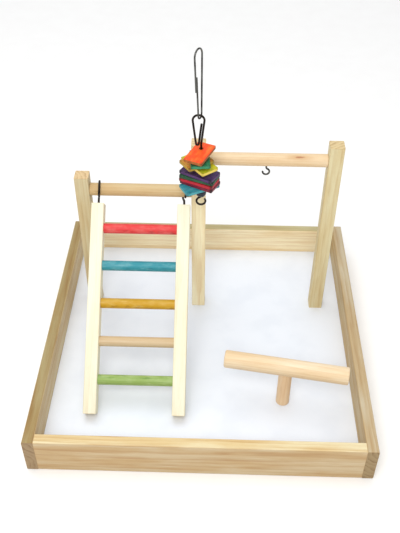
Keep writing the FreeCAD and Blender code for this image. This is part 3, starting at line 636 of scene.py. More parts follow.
@dataclass(frozen=True)
class Timber:
    """Planed bare wood, its colours as display codes.

    The narrow faces may take another colour than the wide ones, as painted light and shade:
    the face that is lit more is lighter, the one in shade darker. Warm patches and dark late
    wood multiply whichever colour is there.
    """

    stuff: ClassVar[str] = "wood"
    # Where wide and narrow differ, the difference is painted light and shade between the faces.
    wide: str
    narrow: str
    end: str
    spacing: float = 4.2
    bend: float = 9.0
    pith: Point = (14.0, 9.0, 0.0)
    rings: float = 0.5
    warmth: float = 0.5
    fibres: float = 0.3
    wear: float = 0.35
    edge_width: float = 0.9
    end_contrast: float = 0.8
    knots: tuple[Knot, ...] = ()
    pores: float = 0.3
    roughness: tuple[float, float] = (0.68, 0.52)
    shine: float = 0.35
    relief: tuple[float, float] = (0.5, 0.00008)

    def paint(self, skin: Skin) -> bpy.types.Material:
        """Make the wood for one piece, with the grain along its length.

        Args:
            skin: The piece's material, started.

        Returns:
            The finished material.
        """
        graph = skin.graph
        figure = {"Pith": self.pith, "Spacing": self.spacing, "Bend": self.bend}
        look, edge = skin.figure(self.edge_width, 0.8, **figure)
        # Painted light and shade: narrow and wide faces get separate colours, lighter on the lit
        # face.
        wood = graph.mix(edge["Side"], shade(self.wide), shade(self.narrow))
        wood = graph.stain(look["Tone"], self.warmth, wood, WARM)
        wood = graph.stain(look["Rings"], self.rings, wood, LATE)
        wood = graph.stain(graph.sum("SUBTRACT", 1.0, look["Fibres"]), self.fibres, wood, LATE)
        wood = graph.stain(look["Pores"], self.pores, wood, LATE)
        pits = look["Pores"]
        for knot in self.knots:
            spot = skin.use(skin.effects.knot, At=knot.at, Radius=knot.radius)
            core = graph.times(spot["Core"], knot.core)
            wood = graph.stain(spot["Halo"], knot.halo, wood, LATE)
            wood = graph.mix(core, wood, shade(knot.colour))
            pits = graph.sum("MAXIMUM", pits, spot["Core"])
        sawn = graph.stain(look["Rings"], self.end_contrast, shade(self.end), END_LATE)
        whole = graph.mix(edge["End"], wood, sawn)
        worn = graph.stain(edge["Edge"], self.wear, whole, WARM)
        rough = graph.remap(look["Fibres"], 0.0, 1.0, *self.roughness)
        relief = graph.sum("SUBTRACT", graph.sum("ADD", look["Fibres"], look["Rings"]), pits)
        skin.shader.inputs["Specular IOR Level"].default_value = self.shine
        return skin.end(worn, rough, relief, *self.relief)


@dataclass(frozen=True)
class DyedWood:
    """Wood soaked in a bright dye, its colours as display codes."""

    stuff: ClassVar[str] = "dye"
    dye: str
    deep: str
    bare: str
    # The side colour goes on the thin edge faces; it is painted light and shade, set to how each
    # tile's edges are lit.
    side: str
    wear: float = 0.6
    edge_width: float = 1.1
    darkened: float = 0.45
    patches: float = 0.4
    # How far the corners are darkened towards near black.
    corner_dark: float = 0.0
    rings: float = 0.3
    pooled: float = 0.7
    roughness: tuple[float, float] = (0.62, 0.45)
    shine: float = 0.4
    relief: tuple[float, float] = (0.5, 0.00009)

    def paint(self, skin: Skin) -> bpy.types.Material:
        """Make the dyed wood for one piece.

        Args:
            skin: The piece's material, started.

        Returns:
            The finished material.
        """
        graph, deep = skin.graph, shade(self.deep)
        figure = {"Pith": (11.0, 17.0, 0.0), "Spacing": 2.6, "Bend": 4.0}
        look, edge = skin.figure(self.edge_width, 1.0, **figure)
        soak = {"Fibres": look["Fibres"], "Edge": edge["Edge"], "Wear": self.wear}
        wash = skin.use(skin.effects.dye, Seed=seed_of(skin.name), **soak)
        wet = graph.times(wash["Pooled"], self.pooled)
        dyed = graph.mix(wet, shade(self.dye), deep)
        # Painted light and shade: the edge faces take the side colour, which paints how they are
        # lit and shaded.
        dyed = graph.mix(edge["Side"], dyed, shade(self.side))
        thin = graph.times(wash["Thin"], self.patches)
        dyed = graph.mix(thin, dyed, shade(self.bare))
        ringed = graph.times(look["Rings"], self.rings)
        dyed = graph.mix(ringed, dyed, deep)
        dyed = graph.stain(edge["Edge"], self.darkened, dyed, deep)
        # Darken the corners towards near black.
        blackened_corner = graph.times(edge["Corner"], self.corner_dark)
        dyed = graph.mix(blackened_corner, dyed, CORNER_BLACK)
        dyed = graph.mix(wash["Rubbed"], dyed, shade(self.bare))
        rough = graph.remap(look["Fibres"], 0.0, 1.0, *self.roughness)
        relief = graph.sum("SUBTRACT", look["Fibres"], look["Pores"])
        skin.shader.inputs["Specular IOR Level"].default_value = self.shine
        return skin.end(dyed, rough, relief, *self.relief)


@dataclass(frozen=True)
class FacedBoard:
    """Fibre board with a smooth white face and a raw brown underside."""

    stuff: ClassVar[str] = "facing"
    face: str
    scuff: str
    fibre: str
    fleck: str = "A98A62"
    smear: float = 0.35
    facing: tuple[float, float] = (0.0006, 0.0004)
    raw_roughness: float = 0.85
    face_roughness: float = 0.42
    relief: tuple[float, float] = (0.25, 0.00005)

    def paint(self, skin: Skin) -> bpy.types.Material:
        """Make the board: white where the point is near the top, brown fibre below it.

        Args:
            skin: The piece's material, started.

        Returns:
            The finished material.
        """
        graph = skin.graph
        height = graph.parts(graph.add("ShaderNodeTexCoord").outputs["Object"])[2]
        top = float(corners_of(skin.name)[:, 2].max()) * MM
        facing = graph.remap(height, *(top - depth for depth in self.facing))
        wide = graph.stretch(skin.place, (0.25, 0.25, 0.25))
        marks = skin.effects.tarnish.use(graph, Place=wide, Seed=seed_of(skin.name))
        smear = graph.times(marks["Tarnish"], self.smear)
        white = graph.mix(smear, shade(self.face), shade(self.scuff))
        flecks = FLECK.over(graph, skin.place)
        raw = graph.mix(graph.remap(flecks, *FLECK_FADE), shade(self.fibre), shade(self.fleck))
        rough = graph.mix(facing, grey(self.raw_roughness), grey(self.face_roughness))
        return skin.end(graph.mix(facing, raw, white), graph.parts(rough)[0], flecks, *self.relief)


@dataclass(frozen=True)
class Metal:
    """Bent wire or a fastener, bright or browned."""

    stuff: ClassVar[str] = "metal"
    bright: str
    tarnish: str
    roughness: float = 0.35
    metallic: float = 1.0
    scratched: float = 0.2
    relief: tuple[float, float] = (0.15, 0.00002)

    def paint(self, skin: Skin) -> bpy.types.Material:
        """Make the metal for one piece, clouded by tarnish and finely scratched.

        Args:
            skin: The piece's material, started.

        Returns:
            The finished material.
        """
        graph, dullest = skin.graph, self.roughness + self.scratched
        marks = skin.use(skin.effects.tarnish, Seed=seed_of(skin.name))
        colour = graph.mix(marks["Tarnish"], shade(self.bright), shade(self.tarnish))
        rough = graph.remap(marks["Scratches"], 0.0, 1.0, self.roughness, dullest)
        skin.shader.inputs["Metallic"].default_value = self.metallic
        return skin.end(colour, rough, marks["Scratches"], *self.relief)


Finish = Timber | DyedWood | FacedBoard | Metal

# The rails' wide and narrow colours differ as painted light and shade, each face tinted as it is
# lit.
RAIL = Timber(
    "CBB996",
    "E5DAB2",
    "BE9C72",
    spacing=5.2,
    bend=12.0,
    pith=(26.0, -14.0, 0.0),
    rings=0.8,
    warmth=0.9,
    fibres=0.42,
)
RAIL_FRONT = replace(RAIL, warmth=0.95)
RAIL_BACK = replace(
    RAIL, wide="FAEFCC", narrow="C0BA90", rings=0.6, warmth=0.7, pith=(-22.0, 12.0, 0.0)
)
RAIL_LEFT = replace(RAIL, wide="D5C9A8", narrow="A8996D", end="9D8461", pith=(18.0, 20.0, 0.0))
RAIL_RIGHT = replace(
    RAIL,
    wide="CCBD98",
    narrow="C6BB9F",
    end="9C855E",
    warmth=1.0,
    end_contrast=1.0,
    pith=(-30.0, -20.0, 0.0),
    knots=(Knot((-20.0, 3.0, 60.0), 2.6),),
)
POST_LEFT = Timber("D0C49E", "D0C49E", "D9BE90", rings=0.6, warmth=0.7, pith=(20.0, 6.0, 0.0))
POST_MIDDLE = Timber("FAF1CD", "FAF1CD", "DCC79A", warmth=0.6, pith=(-17.0, 11.0, 0.0))
POST_RIGHT = Timber("DCD3AB", "DCD3AB", "D6C090", rings=0.6, warmth=0.7, pith=(-14.0, 19.0, 0.0))
DOWEL = Timber("D2BC90", "D2BC90", "D2AE80", 2.8, 5.0, (9.0, 4.0, 0.0), wear=0.0)
PERCH_LEFT = replace(DOWEL, warmth=0.7)
PERCH_KNOTTED = replace(
    DOWEL,
    wide="E7D1AD",
    narrow="E7D1AD",
    pith=(8.0, -5.0, 0.0),
    knots=(Knot((-3.4, 5.4, 31.0), 1.7, "A86C48"),),
)
RUNG_BARE = replace(DOWEL, wide="D2BD99", narrow="D2BD99")
T_STEM = replace(DOWEL, wide="EDD3AE", narrow="EDD3AE", pith=(7.0, 10.0, 0.0))
T_BAR = replace(T_STEM, wide="EDDCBD", narrow="EDDCBD", rings=0.6, warmth=0.7)
STILE = Timber("F1EFD6", "F1EFD6", "E9D6A6", 4.6, 9.0, (22.0, 13.0, 0.0), 0.3, 0.3, 0.18)
BOARD = FacedBoard("E6EBF2", "D9DFE8", "8C6A44")
DARK_WIRE = Metal("332C27", "181412", 0.38, 0.85)
STEEL = Metal("60605C", "2C2824", 0.3)
ZINC = Metal("C2C2BC", "8E8C84", 0.34)


def dress(effects: Effects, node: str, finish: Finish, turned: Turned = Turned.NOT) -> None:
    """Give a CAD node its own material.

    Args:
        effects: The shared node groups.
        node: The CAD node.
        finish: What it is made of.
        turned: How it is turned away from the tray's sides.
    """
    item = bpy.data.objects[node]
    material = finish.paint(Skin.start(effects, node, finish.stuff, Lie.of(node, turned)))
    if not item.material_slots:
        item.data.materials.append(material)
    for slot in item.material_slots:
        slot.material = material
    LOG.info("dressed %s", node)


# ---- New surfaces


Surface = tuple[np.ndarray, np.ndarray, np.ndarray]


def lathe(radius: np.ndarray, height: np.ndarray, angle: np.ndarray) -> np.ndarray:
    """Turn radii and heights, one row for each ring, round the Z axis."""
    x, y = radius * np.cos(angle), radius * np.sin(angle)
    return np.stack([x, y, np.broadcast_to(height, x.shape)], axis=-1)


def closed_tube(rings: np.ndarray, start: np.ndarray, end: np.ndarray) -> Surface:
    """Skin a stack of rings and close both ends with fans.

    Args:
        rings: Points as ring, place round the ring, coordinate.
        start: The pole before the first ring.
        end: The pole after the last ring.

    Returns:
        The points, the four-sided faces and the three-sided faces.
    """
    count, around, _ = rings.shape
    index = np.arange(count * around).reshape(count, around)
    after = np.roll(index, -1, axis=1)
    quads = np.stack([index[:-1], after[:-1], after[1:], index[1:]], axis=-1).reshape(-1, 4)
    first, last = count * around, count * around + 1
    start_fan = np.stack([after[0], index[0], np.full(around, first)], axis=-1)
    end_fan = np.stack([index[-1], after[-1], np.full(around, last)], axis=-1)
    points = np.concatenate([rings.reshape(-1, 3), start[None], end[None]])
    return points, quads, np.concatenate([start_fan, end_fan])


def ring_skin(loops: np.ndarray) -> tuple[np.ndarray, np.ndarray]:
    """Skin loops that close both ways, as on a ring.

    Args:
        loops: Points as loop, place round the loop, coordinate.

    Returns:
        The points and the four-sided faces.
    """
    count, around, _ = loops.shape
    index = np.arange(count * around).reshape(count, around)
    right = np.roll(index, -1, axis=1)
    below = np.roll(index, -1, axis=0)
    corner = np.roll(right, -1, axis=0)
    return loops.reshape(-1, 3), np.stack([index, below, corner, right], axis=-1).reshape(-1, 4)


def new_piece(
    name: str, points: np.ndarray, faces: Iterable[np.ndarray], smooth_angle: float
) -> bpy.types.Object:
    """Make a mesh object whose object sits at the origin.

    Args:
        name: The piece's name.
        points: The vertices in millimetres, in the object's frame.
        faces: Arrays of faces, each with its own number of corners.
        smooth_angle: The angle in degrees under which a join is shaded smoothly.

    Returns:
        The object, linked to the scene.
    """
    mesh = bpy.data.meshes.new(name)
    listed = [face for group in faces for face in group.tolist()]
    mesh.from_pydata((points * MM).tolist(), [], listed)
    mesh.update()
    mesh.validate()
    item = bpy.data.objects.new(name, mesh)
    bpy.context.scene.collection.objects.link(item)
    mesh.shade_smooth()
    mesh.set_sharp_from_angle(angle=math.radians(smooth_angle))
    return item


# How far out the rings on a screw's head lie, as shares of its radius.
HEAD_RINGS = np.array([0.12, 0.24, 0.36, 0.46, 0.54, 0.62, 0.72, 0.96])


@dataclass(frozen=True)
class Screw:
    """A countersunk wood screw with a cross recess, drawn head first along its own Z axis.

    The recess's arm, width, depth and middle are shares of the head's diameter, and the core
    and the ridge are shares of the shaft's radius.
    """

    diameter: float
    head: float
    length: float
    pitch: float = 1.5
    around: int = 28
    arm: float = 0.27
    width: float = 0.055
    dip: float = 0.26
    middle: float = 0.28
    plain: float = 6.0
    core: float = 0.74
    ridge: float = 0.25
    rings_in_turn: int = 5

    def _face(self, angle: np.ndarray) -> np.ndarray:
        """Work out the head's face: rings on a disc that dips by a smooth cross.

        Args:
            angle: The turn of each point in a ring.

        Returns:
            Points as ring, place round the ring, coordinate.
        """
        reach = HEAD_RINGS[:, None] * self.head / 2
        x, y = reach * np.cos(angle), reach * np.sin(angle)
        arm, width = self.head * self.arm, self.head * self.width
        arms = [
            np.clip((arm - np.abs(a)) / (0.3 * width), 0, 1)
            * np.clip((width * 1.6 - np.abs(b)) / width, 0, 1)
            for a, b in ((x, y), (y, x))
        ]
        return np.stack([x, y, self.dip * self.head * np.maximum(*arms)], axis=-1)

    def surface(self) -> Surface:
        """Work out the screw's skin.

        The shaft's radius follows the head's cone, then a core with a ridge where the turn
        and the height agree, then the point's taper.

        Returns:
            The points, the four-sided faces and the three-sided faces.
        """
        angle = np.linspace(0.0, 2.0 * math.pi, self.around, endpoint=False)
        taper = (self.head - self.diameter) / 2
        rings = max(int((self.length - taper) / self.pitch), 1) * self.rings_in_turn
        shank = np.linspace(taper + 0.6, self.length - 0.2, rings)
        height = np.concatenate([[0.04, taper * 0.5, taper], shank])[:, None]
        cone = np.where(height < taper, self.head / 2 - height, self.diameter / 2)
        point = np.clip((self.length - height) / self.diameter, 0.12, 1.0)
        phase = (height / self.pitch - angle / (2 * math.pi)) % 1.0
        ridge = np.clip(1.0 - np.abs(phase - 0.5) * 4.0, 0.0, 1.0)
        thread = np.where(height > taper + self.plain, self.core + self.ridge * ridge, 0.98)
        radius = cone * thread * point
        radius[:3] = cone[:3]
        ends = np.array([[0.0, 0.0, self.middle * self.head], [0.0, 0.0, self.length]])
        shaft = lathe(radius, height, angle)
        return closed_tube(np.concatenate([self._face(angle), shaft]), *ends)


@dataclass(frozen=True)
class Brad:
    """A thin nail with a small, slightly cupped head, drawn head first along its own Z axis."""

    diameter: float
    head: float
    length: float
    around: int = 14

    def surface(self) -> Surface:
        """Turn the nail's profile, rows of radius and height, round its axis.

        Returns:
            The points, the four-sided faces and the three-sided faces.
        """
        edge = self.head / 2
        taper = (self.head - self.diameter) / 2
        profile = np.array(
            [
                (edge * 0.45, 0.10),
                (edge * 0.82, 0.05),
                (edge * 0.97, 0.03),
                (edge * 0.99, 0.12),
                (self.diameter / 2, taper),
                (self.diameter / 2, self.length - 2.0),
                (self.diameter / 6, self.length - 0.3),
            ]
        )
        angle = np.linspace(0.0, 2.0 * math.pi, self.around, endpoint=False)
        rings = lathe(profile[:, :1], profile[:, 1:], angle)
        return closed_tube(rings, np.array([0.0, 0.0, 0.12]), np.array([0.0, 0.0, self.length]))


class Towards(Enum):
    """The way that a fastener is driven, as the columns of its own axes."""

    UP = ((1, 0, 0), (0, 1, 0), (0, 0, 1))
    RIGHT = ((0, 0, 1), (0, 1, 0), (-1, 0, 0))
    LEFT = ((0, 0, -1), (0, 1, 0), (1, 0, 0))

    def carry(self, points: np.ndarray, head: Iterable[float]) -> np.ndarray:
        """Turn a fastener's points this way and put its head at a place."""
        return points @ np.array(self.value, float).T + np.array(list(head), float)


Places = list[tuple[Point, Towards]]


def drive(name: str, kind: Screw | Brad, places: Places) -> bpy.types.Object:
    """Make one piece of several equal fasteners.

    Args:
        name: The piece's name.
        kind: The fastener.
        places: Where each one's head is, and which way it is driven.

    Returns:
        The new piece.
    """
    points, quads, fans = kind.surface()
    all_points, all_quads, all_fans = [], [], []
    for count, (head, way) in enumerate(places):
        all_points.append(way.carry(points, head))
        all_quads.append(quads + count * len(points))
        all_fans.append(fans + count * len(points))
    faces = (np.concatenate(all_quads), np.concatenate(all_fans))
    return new_piece(name, np.concatenate(all_points), faces, 35.0)


def finish_piece(
    effects: Effects,
    piece: bpy.types.Object,
    node: str,
    finish: Finish,
    turned: Turned = Turned.NOT,
) -> bpy.types.Object:
    """Dress a new piece, and let it stand for a CAD node on the node's own body.

    Args:
        effects: The shared node groups.
        piece: The new piece.
        node: The CAD node that it replaces.
        finish: What it is made of.
        turned: How it is turned away from the tray's sides.

    Returns:
        The piece.
    """
    skin = Skin.start(effects, piece.name, finish.stuff, Lie.of(node, turned))
    piece.data.materials.append(finish.paint(skin))
    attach(piece, bpy.data.objects[node]["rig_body"])
    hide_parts(node)
    LOG.info("built %s in place of %s", piece.name, node)
    return piece


# ---- The stand's sub-assemblies


@dataclass
class Assembly:
    """A sub-assembly: CAD nodes that are kept and dressed, and new pieces for the others."""

    effects: Effects
    finishes: ClassVar[dict[str, Finish]] = {}
    turned: ClassVar[dict[str, Turned]] = {}

    def dress(self) -> None:
        """Give each kept node its own material."""
        for node, finish in self.finishes.items():
            dress(self.effects, node, finish, self.turned.get(node, Turned.NOT))

    def build(self) -> list[bpy.types.Object]:
        """Make the new pieces, of which there are none where every node is kept."""
        return []

    def fasten(self, node: str, kind: Screw | Brad, places: Places) -> bpy.types.Object:
        """Drive well-made fasteners in place of a node's plain ones."""
        piece = drive(f"{node}_driven", kind, places)
        return finish_piece(self.effects, piece, node, ZINC)


@dataclass
class Tray(Assembly):
    """Four rails round a white-faced board, nailed at the corners and along the sides."""

    finishes: ClassVar[dict[str, Finish]] = {
        "front_rail": RAIL_FRONT,
        "back_rail": RAIL_BACK,
        "left_rail": RAIL_LEFT,
        "right_rail": RAIL_RIGHT,
        "base_panel": BOARD,
    }
    nail: Brad = Brad(1.5, 2.4, 25.0)
    corner_nail: Brad = Brad(1.5, 2.4, 28.0)
    corner_levels: tuple[float, float] = (11.0, 30.0)
    board_pitch: float = 100.0

    def build(self) -> list[bpy.types.Object]:
        """Drive the nails through the side rails.

        Returns:
            The nails at the corners and those into the board.
        """
        low, high = corners_of("left_rail").min(0), corners_of("right_rail").max(0)
        joint = Lie.of("front_rail").centre[1], Lie.of("back_rail").centre[1]
        board = Lie.of("base_panel").centre[2]
        corners, sides = [], []
        for face, way in ((low[0], Towards.RIGHT), (high[0], Towards.LEFT)):
            corners += [((face, y, z), way) for y in joint for z in self.corner_levels]
            sides += [((face, step * self.board_pitch, board), way) for step in (-1, 0, 1)]
        return [
            self.fasten("corner_nails", self.corner_nail, corners),
            self.fasten("panel_nails", self.nail, sides),
        ]


@dataclass
class Posts(Assembly):
    """Three square posts with two round perches screwed between them, and a hook."""

    finishes: ClassVar[dict[str, Finish]] = {
        "left_post": POST_LEFT,
        "middle_post": POST_MIDDLE,
        "right_post": POST_RIGHT,
        "left_perch": PERCH_LEFT,
        "right_perch": PERCH_KNOTTED,
        "cup_hook": STEEL,
    }
    foot_screw: Screw = Screw(3.4, 6.8, 32.0)
    perch_screw: Screw = Screw(2.6, 5.2, 30.0, 1.2)

    def build(self) -> list[bpy.types.Object]:
        """Drive a screw up into each post and one into each end of each perch.

        Returns:
            The screws in the posts and those in the perches.
        """
        boxes = [Lie.of(f"{name}_post") for name in ("left", "middle", "right")]
        feet = [((lie.centre[0], lie.centre[1], 0.0), Towards.UP) for lie in boxes]
        line = boxes[1].centre[1]
        ends = []
        for perch, before, after in (("left_perch", *boxes[:2]), ("right_perch", *boxes[1:])):
            level = Lie.of(perch).centre[2]
            ends.append(((before.centre[0] - before.half[0], line, level), Towards.RIGHT))
            ends.append(((after.centre[0] + after.half[0], line, level), Towards.LEFT))
        return [
            self.fasten("post_screws", self.foot_screw, feet),
            self.fasten("perch_screws", self.perch_screw, ends),
        ]


@dataclass
class Ladder(Assembly):
    """Two pale stiles with four dyed rungs and a bare one, hung by two screw eyes."""

    finishes: ClassVar[dict[str, Finish]] = {
        "ladder_left_stile": STILE,
        "ladder_right_stile": STILE,
        "ladder_left_eye": DARK_WIRE,
        "ladder_right_eye": DARK_WIRE,
        "rung_natural": RUNG_BARE,
        "rung_red": DyedWood("DD3838", "A52023", "F2A898", "DD3838", edge_width=0.01),
        "rung_blue": DyedWood("2C8B97", "145468", "A4D4D4", "2C8B97", edge_width=0.01),
        "rung_yellow": DyedWood("C39415", "8A600B", "ECD488", "C39415", edge_width=0.01),
        "rung_green": DyedWood("91AB59", "618638", "D8E4B4", "91AB59", edge_width=0.01),
    }
    turned: ClassVar[dict[str, Turned]] = {
        "ladder_left_stile": Turned.ABOUT_X,
        "ladder_right_stile": Turned.ABOUT_X,
    }


@dataclass
class TPerch(Assembly):
    """A thick bar on a short stem, turning on its screw."""

    finishes: ClassVar[dict[str, Finish]] = {"t_perch_bar": T_BAR, "t_perch_stem": T_STEM}
    turned: ClassVar[dict[str, Turned]] = {"t_perch_bar": Turned.ABOUT_Z}
    screw: Screw = Screw(3.4, 6.8, 32.0)

    def build(self) -> list[bpy.types.Object]:
        """Drive the screw that the perch turns on."""
        x, y, _ = Lie.of("t_perch_screw").centre
        return [self.fasten("t_perch_screw", self.screw, [((x, y, 0.0), Towards.UP)])]


@dataclass(frozen=True)
class Tile:
    """A small slab of dyed wood with a hole, softened at its edges and very slightly cupped."""

    round_over: float = 0.55
    thinning: float = 0.08
    cup: float = 0.05
    corner_power: float = 34.0
    around: int = 120
    hole_bevel: float = 0.25
    border: float = 1.5
    rings: tuple[float, ...] = (0.3, 0.6, 0.85)

    def _outline(self, wide: float, long: float) -> np.ndarray:
        """Trace the outline, with more points near its corners.

        The outline is a superellipse: its radius at an angle is the inverse root of a sum of
        powers, of the cosine over the half length and of the sine over the half width.

        Args:
            wide: Half the tile's width.
            long: Half its length.

        Returns:
            One row for each point, the place along the tile first.
        """
        corner, spread = math.atan2(wide, long), np.linspace(-0.1, 0.1, 13)
        corners = (corner, math.pi - corner, math.pi + corner, 2 * math.pi - corner)
        marks = [np.linspace(0, 2 * math.pi, self.around, endpoint=False)]
        angle = np.unique(np.concatenate(marks + [at + spread for at in corners]).round(4))
        along, across, power = np.cos(angle), np.sin(angle), self.corner_power
        inverse = np.abs(along / long) ** power + np.abs(across / wide) ** power
        reach = inverse ** (-1 / power)
        return np.stack([reach * along, reach * across], axis=-1)

    def surface(self, node: str, lie: Lie) -> tuple[np.ndarray, np.ndarray]:
        """Work out a tile's skin round its hole.

        Each loop runs round the tile. From one loop to the next the skin goes out over the
        top, down the edge, back in under the tile and up the hole. The top sags towards the
        middle by a slight cup.

        Args:
            node: The CAD node, for the hole.
            lie: How the tile lies, its length last.

        Returns:
            The points in the object's frame and the four-sided faces.
        """
        wide, thick, long = lie.half
        inside = lie.inward(corners_of(node))[:, [2, 0]]
        near = np.all(np.abs(inside) < np.array([long, wide]) - self.border, axis=1)
        low, high = inside[near].min(0), inside[near].max(0)
        centre, bore = (low + high) / 2, float(high[0] - low[0]) / 2
        outline = self._outline(wide, long)
        heading = (outline - centre) / np.linalg.norm(outline - centre, axis=1, keepdims=True)
        hole = centre + heading * bore
        gap = np.linalg.norm(outline - hole, axis=1)[:, None] - self.hole_bevel - self.round_over
        top, turn = thick - self.thinning, np.linspace(0, math.pi / 2, 4)
        inset, down = self.round_over * (1 - np.sin(turn)), self.round_over * (1 - np.cos(turn))
        rows = [(hole, top - self.hole_bevel), (hole + heading * self.hole_bevel, top)]
        rows += [(hole + heading * (self.hole_bevel + gap * s), top) for s in self.rings]
        rows += [(outline - heading * back, top - drop) for back, drop in zip(inset, down)]
        rows += [(flat, -up) for flat, up in reversed(rows)]
        flat = np.stack([row[0] for row in rows])
        level = np.array([row[1] for row in rows])[:, None]
        level = level + self.cup * ((flat[..., 0] / long) ** 2 - 0.5)
        local = np.stack([flat[..., 1], level, flat[..., 0]], axis=-1)
        return ring_skin(lie.outward(local))


@dataclass
class Toy(Assembly):
    """A stiff wire with nine dyed tiles and a bead, hung in a screw eye, and its snap clip."""

    finishes: ClassVar[dict[str, Finish]] = {
        "toy_wire": DARK_WIRE,
        "toy_screw_eye": DARK_WIRE,
        "snap_clip": STEEL,
        "snap_clip_gate": STEEL,
        "toy_bead": Metal("1A2030", "0C0E16", 0.2, 0.0),
    }
    tile: Tile = Tile()
    # Each tile's last colour is its edge colour, painted light and shade.
    dyes: ClassVar[dict[str, DyedWood]] = {
        "tile_orange": DyedWood("F24C0C", "E03410", "FFB038", "96541C", corner_dark=0.25),
        "tile_green": DyedWood("1E7A4A", "0C4A2C", "5AA884", "2C8A60", corner_dark=0.3),
        "tile_amber": DyedWood("C28416", "74560C", "E0C060", "B8962C", corner_dark=0.4),
        "tile_lime": DyedWood("C4BE14", "7E8A0C", "EAD84C", "F0D060", corner_dark=0.2),
        "tile_purple": DyedWood("42245C", "140C1C", "704E88", "4E2C60", corner_dark=0.9),
        "tile_leaf": DyedWood("1E5A34", "0C301A", "4A8A5C", "1E4A30", corner_dark=0.6),
        "tile_red": DyedWood("C81828", "7A0C18", "E8606A", "B8142A", corner_dark=0.8),
        "tile_plum": DyedWood("7A1238", "3A0A1C", "A04A68", "7A1230", corner_dark=0.9),
        "tile_teal": DyedWood("2D95A4", "135563", "84C4CC", "3E9FA8", corner_dark=0.4),
    }

    def build(self) -> list[bpy.types.Object]:
        """Make the tiles in place of the plain slabs.

        Returns:
            The tiles.
        """
        pieces = []
        for node, dye in self.dyes.items():
            lie = Lie.of(node, Turned.ON_FACE)
            points, quads = self.tile.surface(node, lie)
            piece = new_piece(f"{node}_cut", points, (quads,), 40.0)
            pieces.append(finish_piece(self.effects, piece, node, dye, Turned.ON_FACE))
        return pieces


# ---- Studio


@dataclass(frozen=True)
class Lamp:
    """A round area light: its place and its aim in metres, its size and its power."""

    name: str
    place: Point
    aim: Point
    size: float
    power: float

    def hang(self) -> None:
        """Add the light to the scene, turned to its aim."""
        data = bpy.data.lights.new(self.name, "AREA")
        data.shape, data.size, data.energy = "DISK", self.size, self.power
        item = bpy.data.objects.new(self.name, data)
        turn = (Vector(self.place) - Vector(self.aim)).to_track_quat("Z", "Y")
        item.matrix_world = Matrix.Translation(self.place) @ turn.to_matrix().to_4x4()
        bpy.context.scene.collection.objects.link(item)


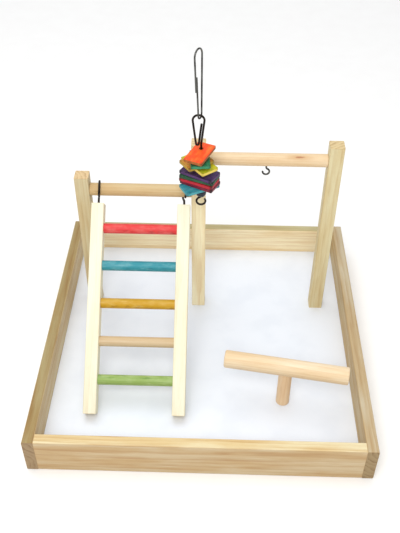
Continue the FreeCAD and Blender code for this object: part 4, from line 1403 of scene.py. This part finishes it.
@dataclass
class Studio:
    """A pale floor that curves up far away, soft lights, and the photograph's camera."""

    camera_place: Point = (11.03, -554.38, 608.73)
    focal_pixels: float = 755.938
    frame_height: float = 533.0
    sensor: float = 36.0
    yaw: float = 1.608
    pitch: float = 41.73
    roll: float = 0.191
    floor_flat: float = 3000.0
    floor_reach: float = 9000.0
    floor_rise: float = 90.0
    floor_gap: float = 0.2
    sky: float = 0.76
    lamps: tuple[Lamp, ...] = (
        Lamp("front_light", (-0.08, -0.66, 0.86), (0.0, 0.0, 0.08), 0.5, 4.6),
        Lamp("overhead_light", (-0.35, 0.45, 2.2), (0.0, 0.2, 0.0), 2.0, 15.0),
    )

    def floor(self) -> None:
        """Make the floor: flat to a distance, then rising with the square of the reach."""
        flat, curved = np.linspace(300.0, self.floor_flat, 10), self.floor_flat + 300.0
        reach = np.concatenate([flat, np.linspace(curved, self.floor_reach, 24)])[:, None]
        angle = np.linspace(0.0, 2.0 * math.pi, 96, endpoint=False)
        rise = self.floor_rise * np.clip((reach - self.floor_flat) * MM, 0.0, None) ** 2
        rings = lathe(reach, rise, angle)
        index = np.arange(len(reach) * len(angle)).reshape(len(reach), -1)
        after = np.roll(index, -1, axis=1)
        quads = np.stack([index[:-1], index[1:], after[1:], after[:-1]], axis=-1).reshape(-1, 4)
        fan = np.stack([index[0], after[0], np.full(len(angle), index.size)], axis=-1)
        points = np.concatenate([rings.reshape(-1, 3), np.zeros((1, 3))])
        points[:, 2] -= self.floor_gap
        floor = new_piece("pale_floor", points, (quads, fan), 60.0)
        material = bpy.data.materials.new("pale_paper")
        material.use_nodes = True
        shader = material.node_tree.nodes["Principled BSDF"]
        graph = Graph(material.node_tree)
        grain = graph.noise(graph.add("ShaderNodeTexCoord").outputs["Object"], 30.0)
        colour = graph.mix(grain, shade("F6F5F3"), shade("FAFAF8"))
        material.node_tree.links.new(colour, shader.inputs["Base Color"])
        shader.inputs["Roughness"].default_value = 0.9
        shader.inputs["Specular IOR Level"].default_value = 0.1
        floor.data.materials.append(material)

    def camera(self) -> None:
        """Set the camera from its place, its turn to the left, its dip and its roll."""
        yaw, pitch, roll = (math.radians(value) for value in (self.yaw, self.pitch, self.roll))
        turn, dip = (math.sin(yaw), math.cos(yaw)), (math.sin(pitch), math.cos(pitch))
        ahead = Vector((-turn[0] * dip[1], turn[1] * dip[1], -dip[0]))
        level = Vector((math.cos(yaw), math.sin(yaw), 0.0))
        above = level.cross(ahead)
        right = math.cos(roll) * level + math.sin(roll) * above
        up = math.cos(roll) * above - math.sin(roll) * level
        data = bpy.data.cameras.new("photo_camera")
        data.sensor_fit = "AUTO"
        data.sensor_width = self.sensor
        data.lens = self.focal_pixels * self.sensor / self.frame_height
        data.clip_start, data.clip_end = 0.05, 60.0
        item = bpy.data.objects.new("photo_camera", data)
        axes = Matrix((right, up, -ahead)).transposed().to_4x4()
        item.matrix_world = Matrix.Translation(Vector(self.camera_place) * MM) @ axes
        bpy.context.scene.collection.objects.link(item)
        bpy.context.scene.camera = item

    def lights(self) -> None:
        """Hang a soft light by the camera and a broad one overhead, under a white sky."""
        for lamp in self.lamps:
            lamp.hang()
        world = bpy.data.worlds.new("white_sky")
        world.use_nodes = True
        sky = world.node_tree.nodes["Background"]
        sky.inputs["Color"].default_value = shade("FBFCFF")
        sky.inputs["Strength"].default_value = self.sky
        bpy.context.scene.world = world
        bpy.context.scene.view_settings.view_transform = "Standard"

    def build(self) -> None:
        """Set up the whole studio."""
        self.floor()
        self.camera()
        self.lights()


def main() -> None:
    """Load the frame, build and dress each sub-assembly in turn, and log the new pieces."""
    logging.basicConfig(level=logging.INFO, format="%(name)s: %(message)s")
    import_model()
    effects = Effects()
    for kind in (Tray, Posts, Ladder, TPerch, Toy):
        assembly = kind(effects)
        assembly.dress()
        made = [piece.name for piece in assembly.build()]
        LOG.info("%s done, new pieces: %s", kind.__name__, made)
    Studio().build()
    bpy.context.view_layer.update()


if __name__ == "__main__":
    main()
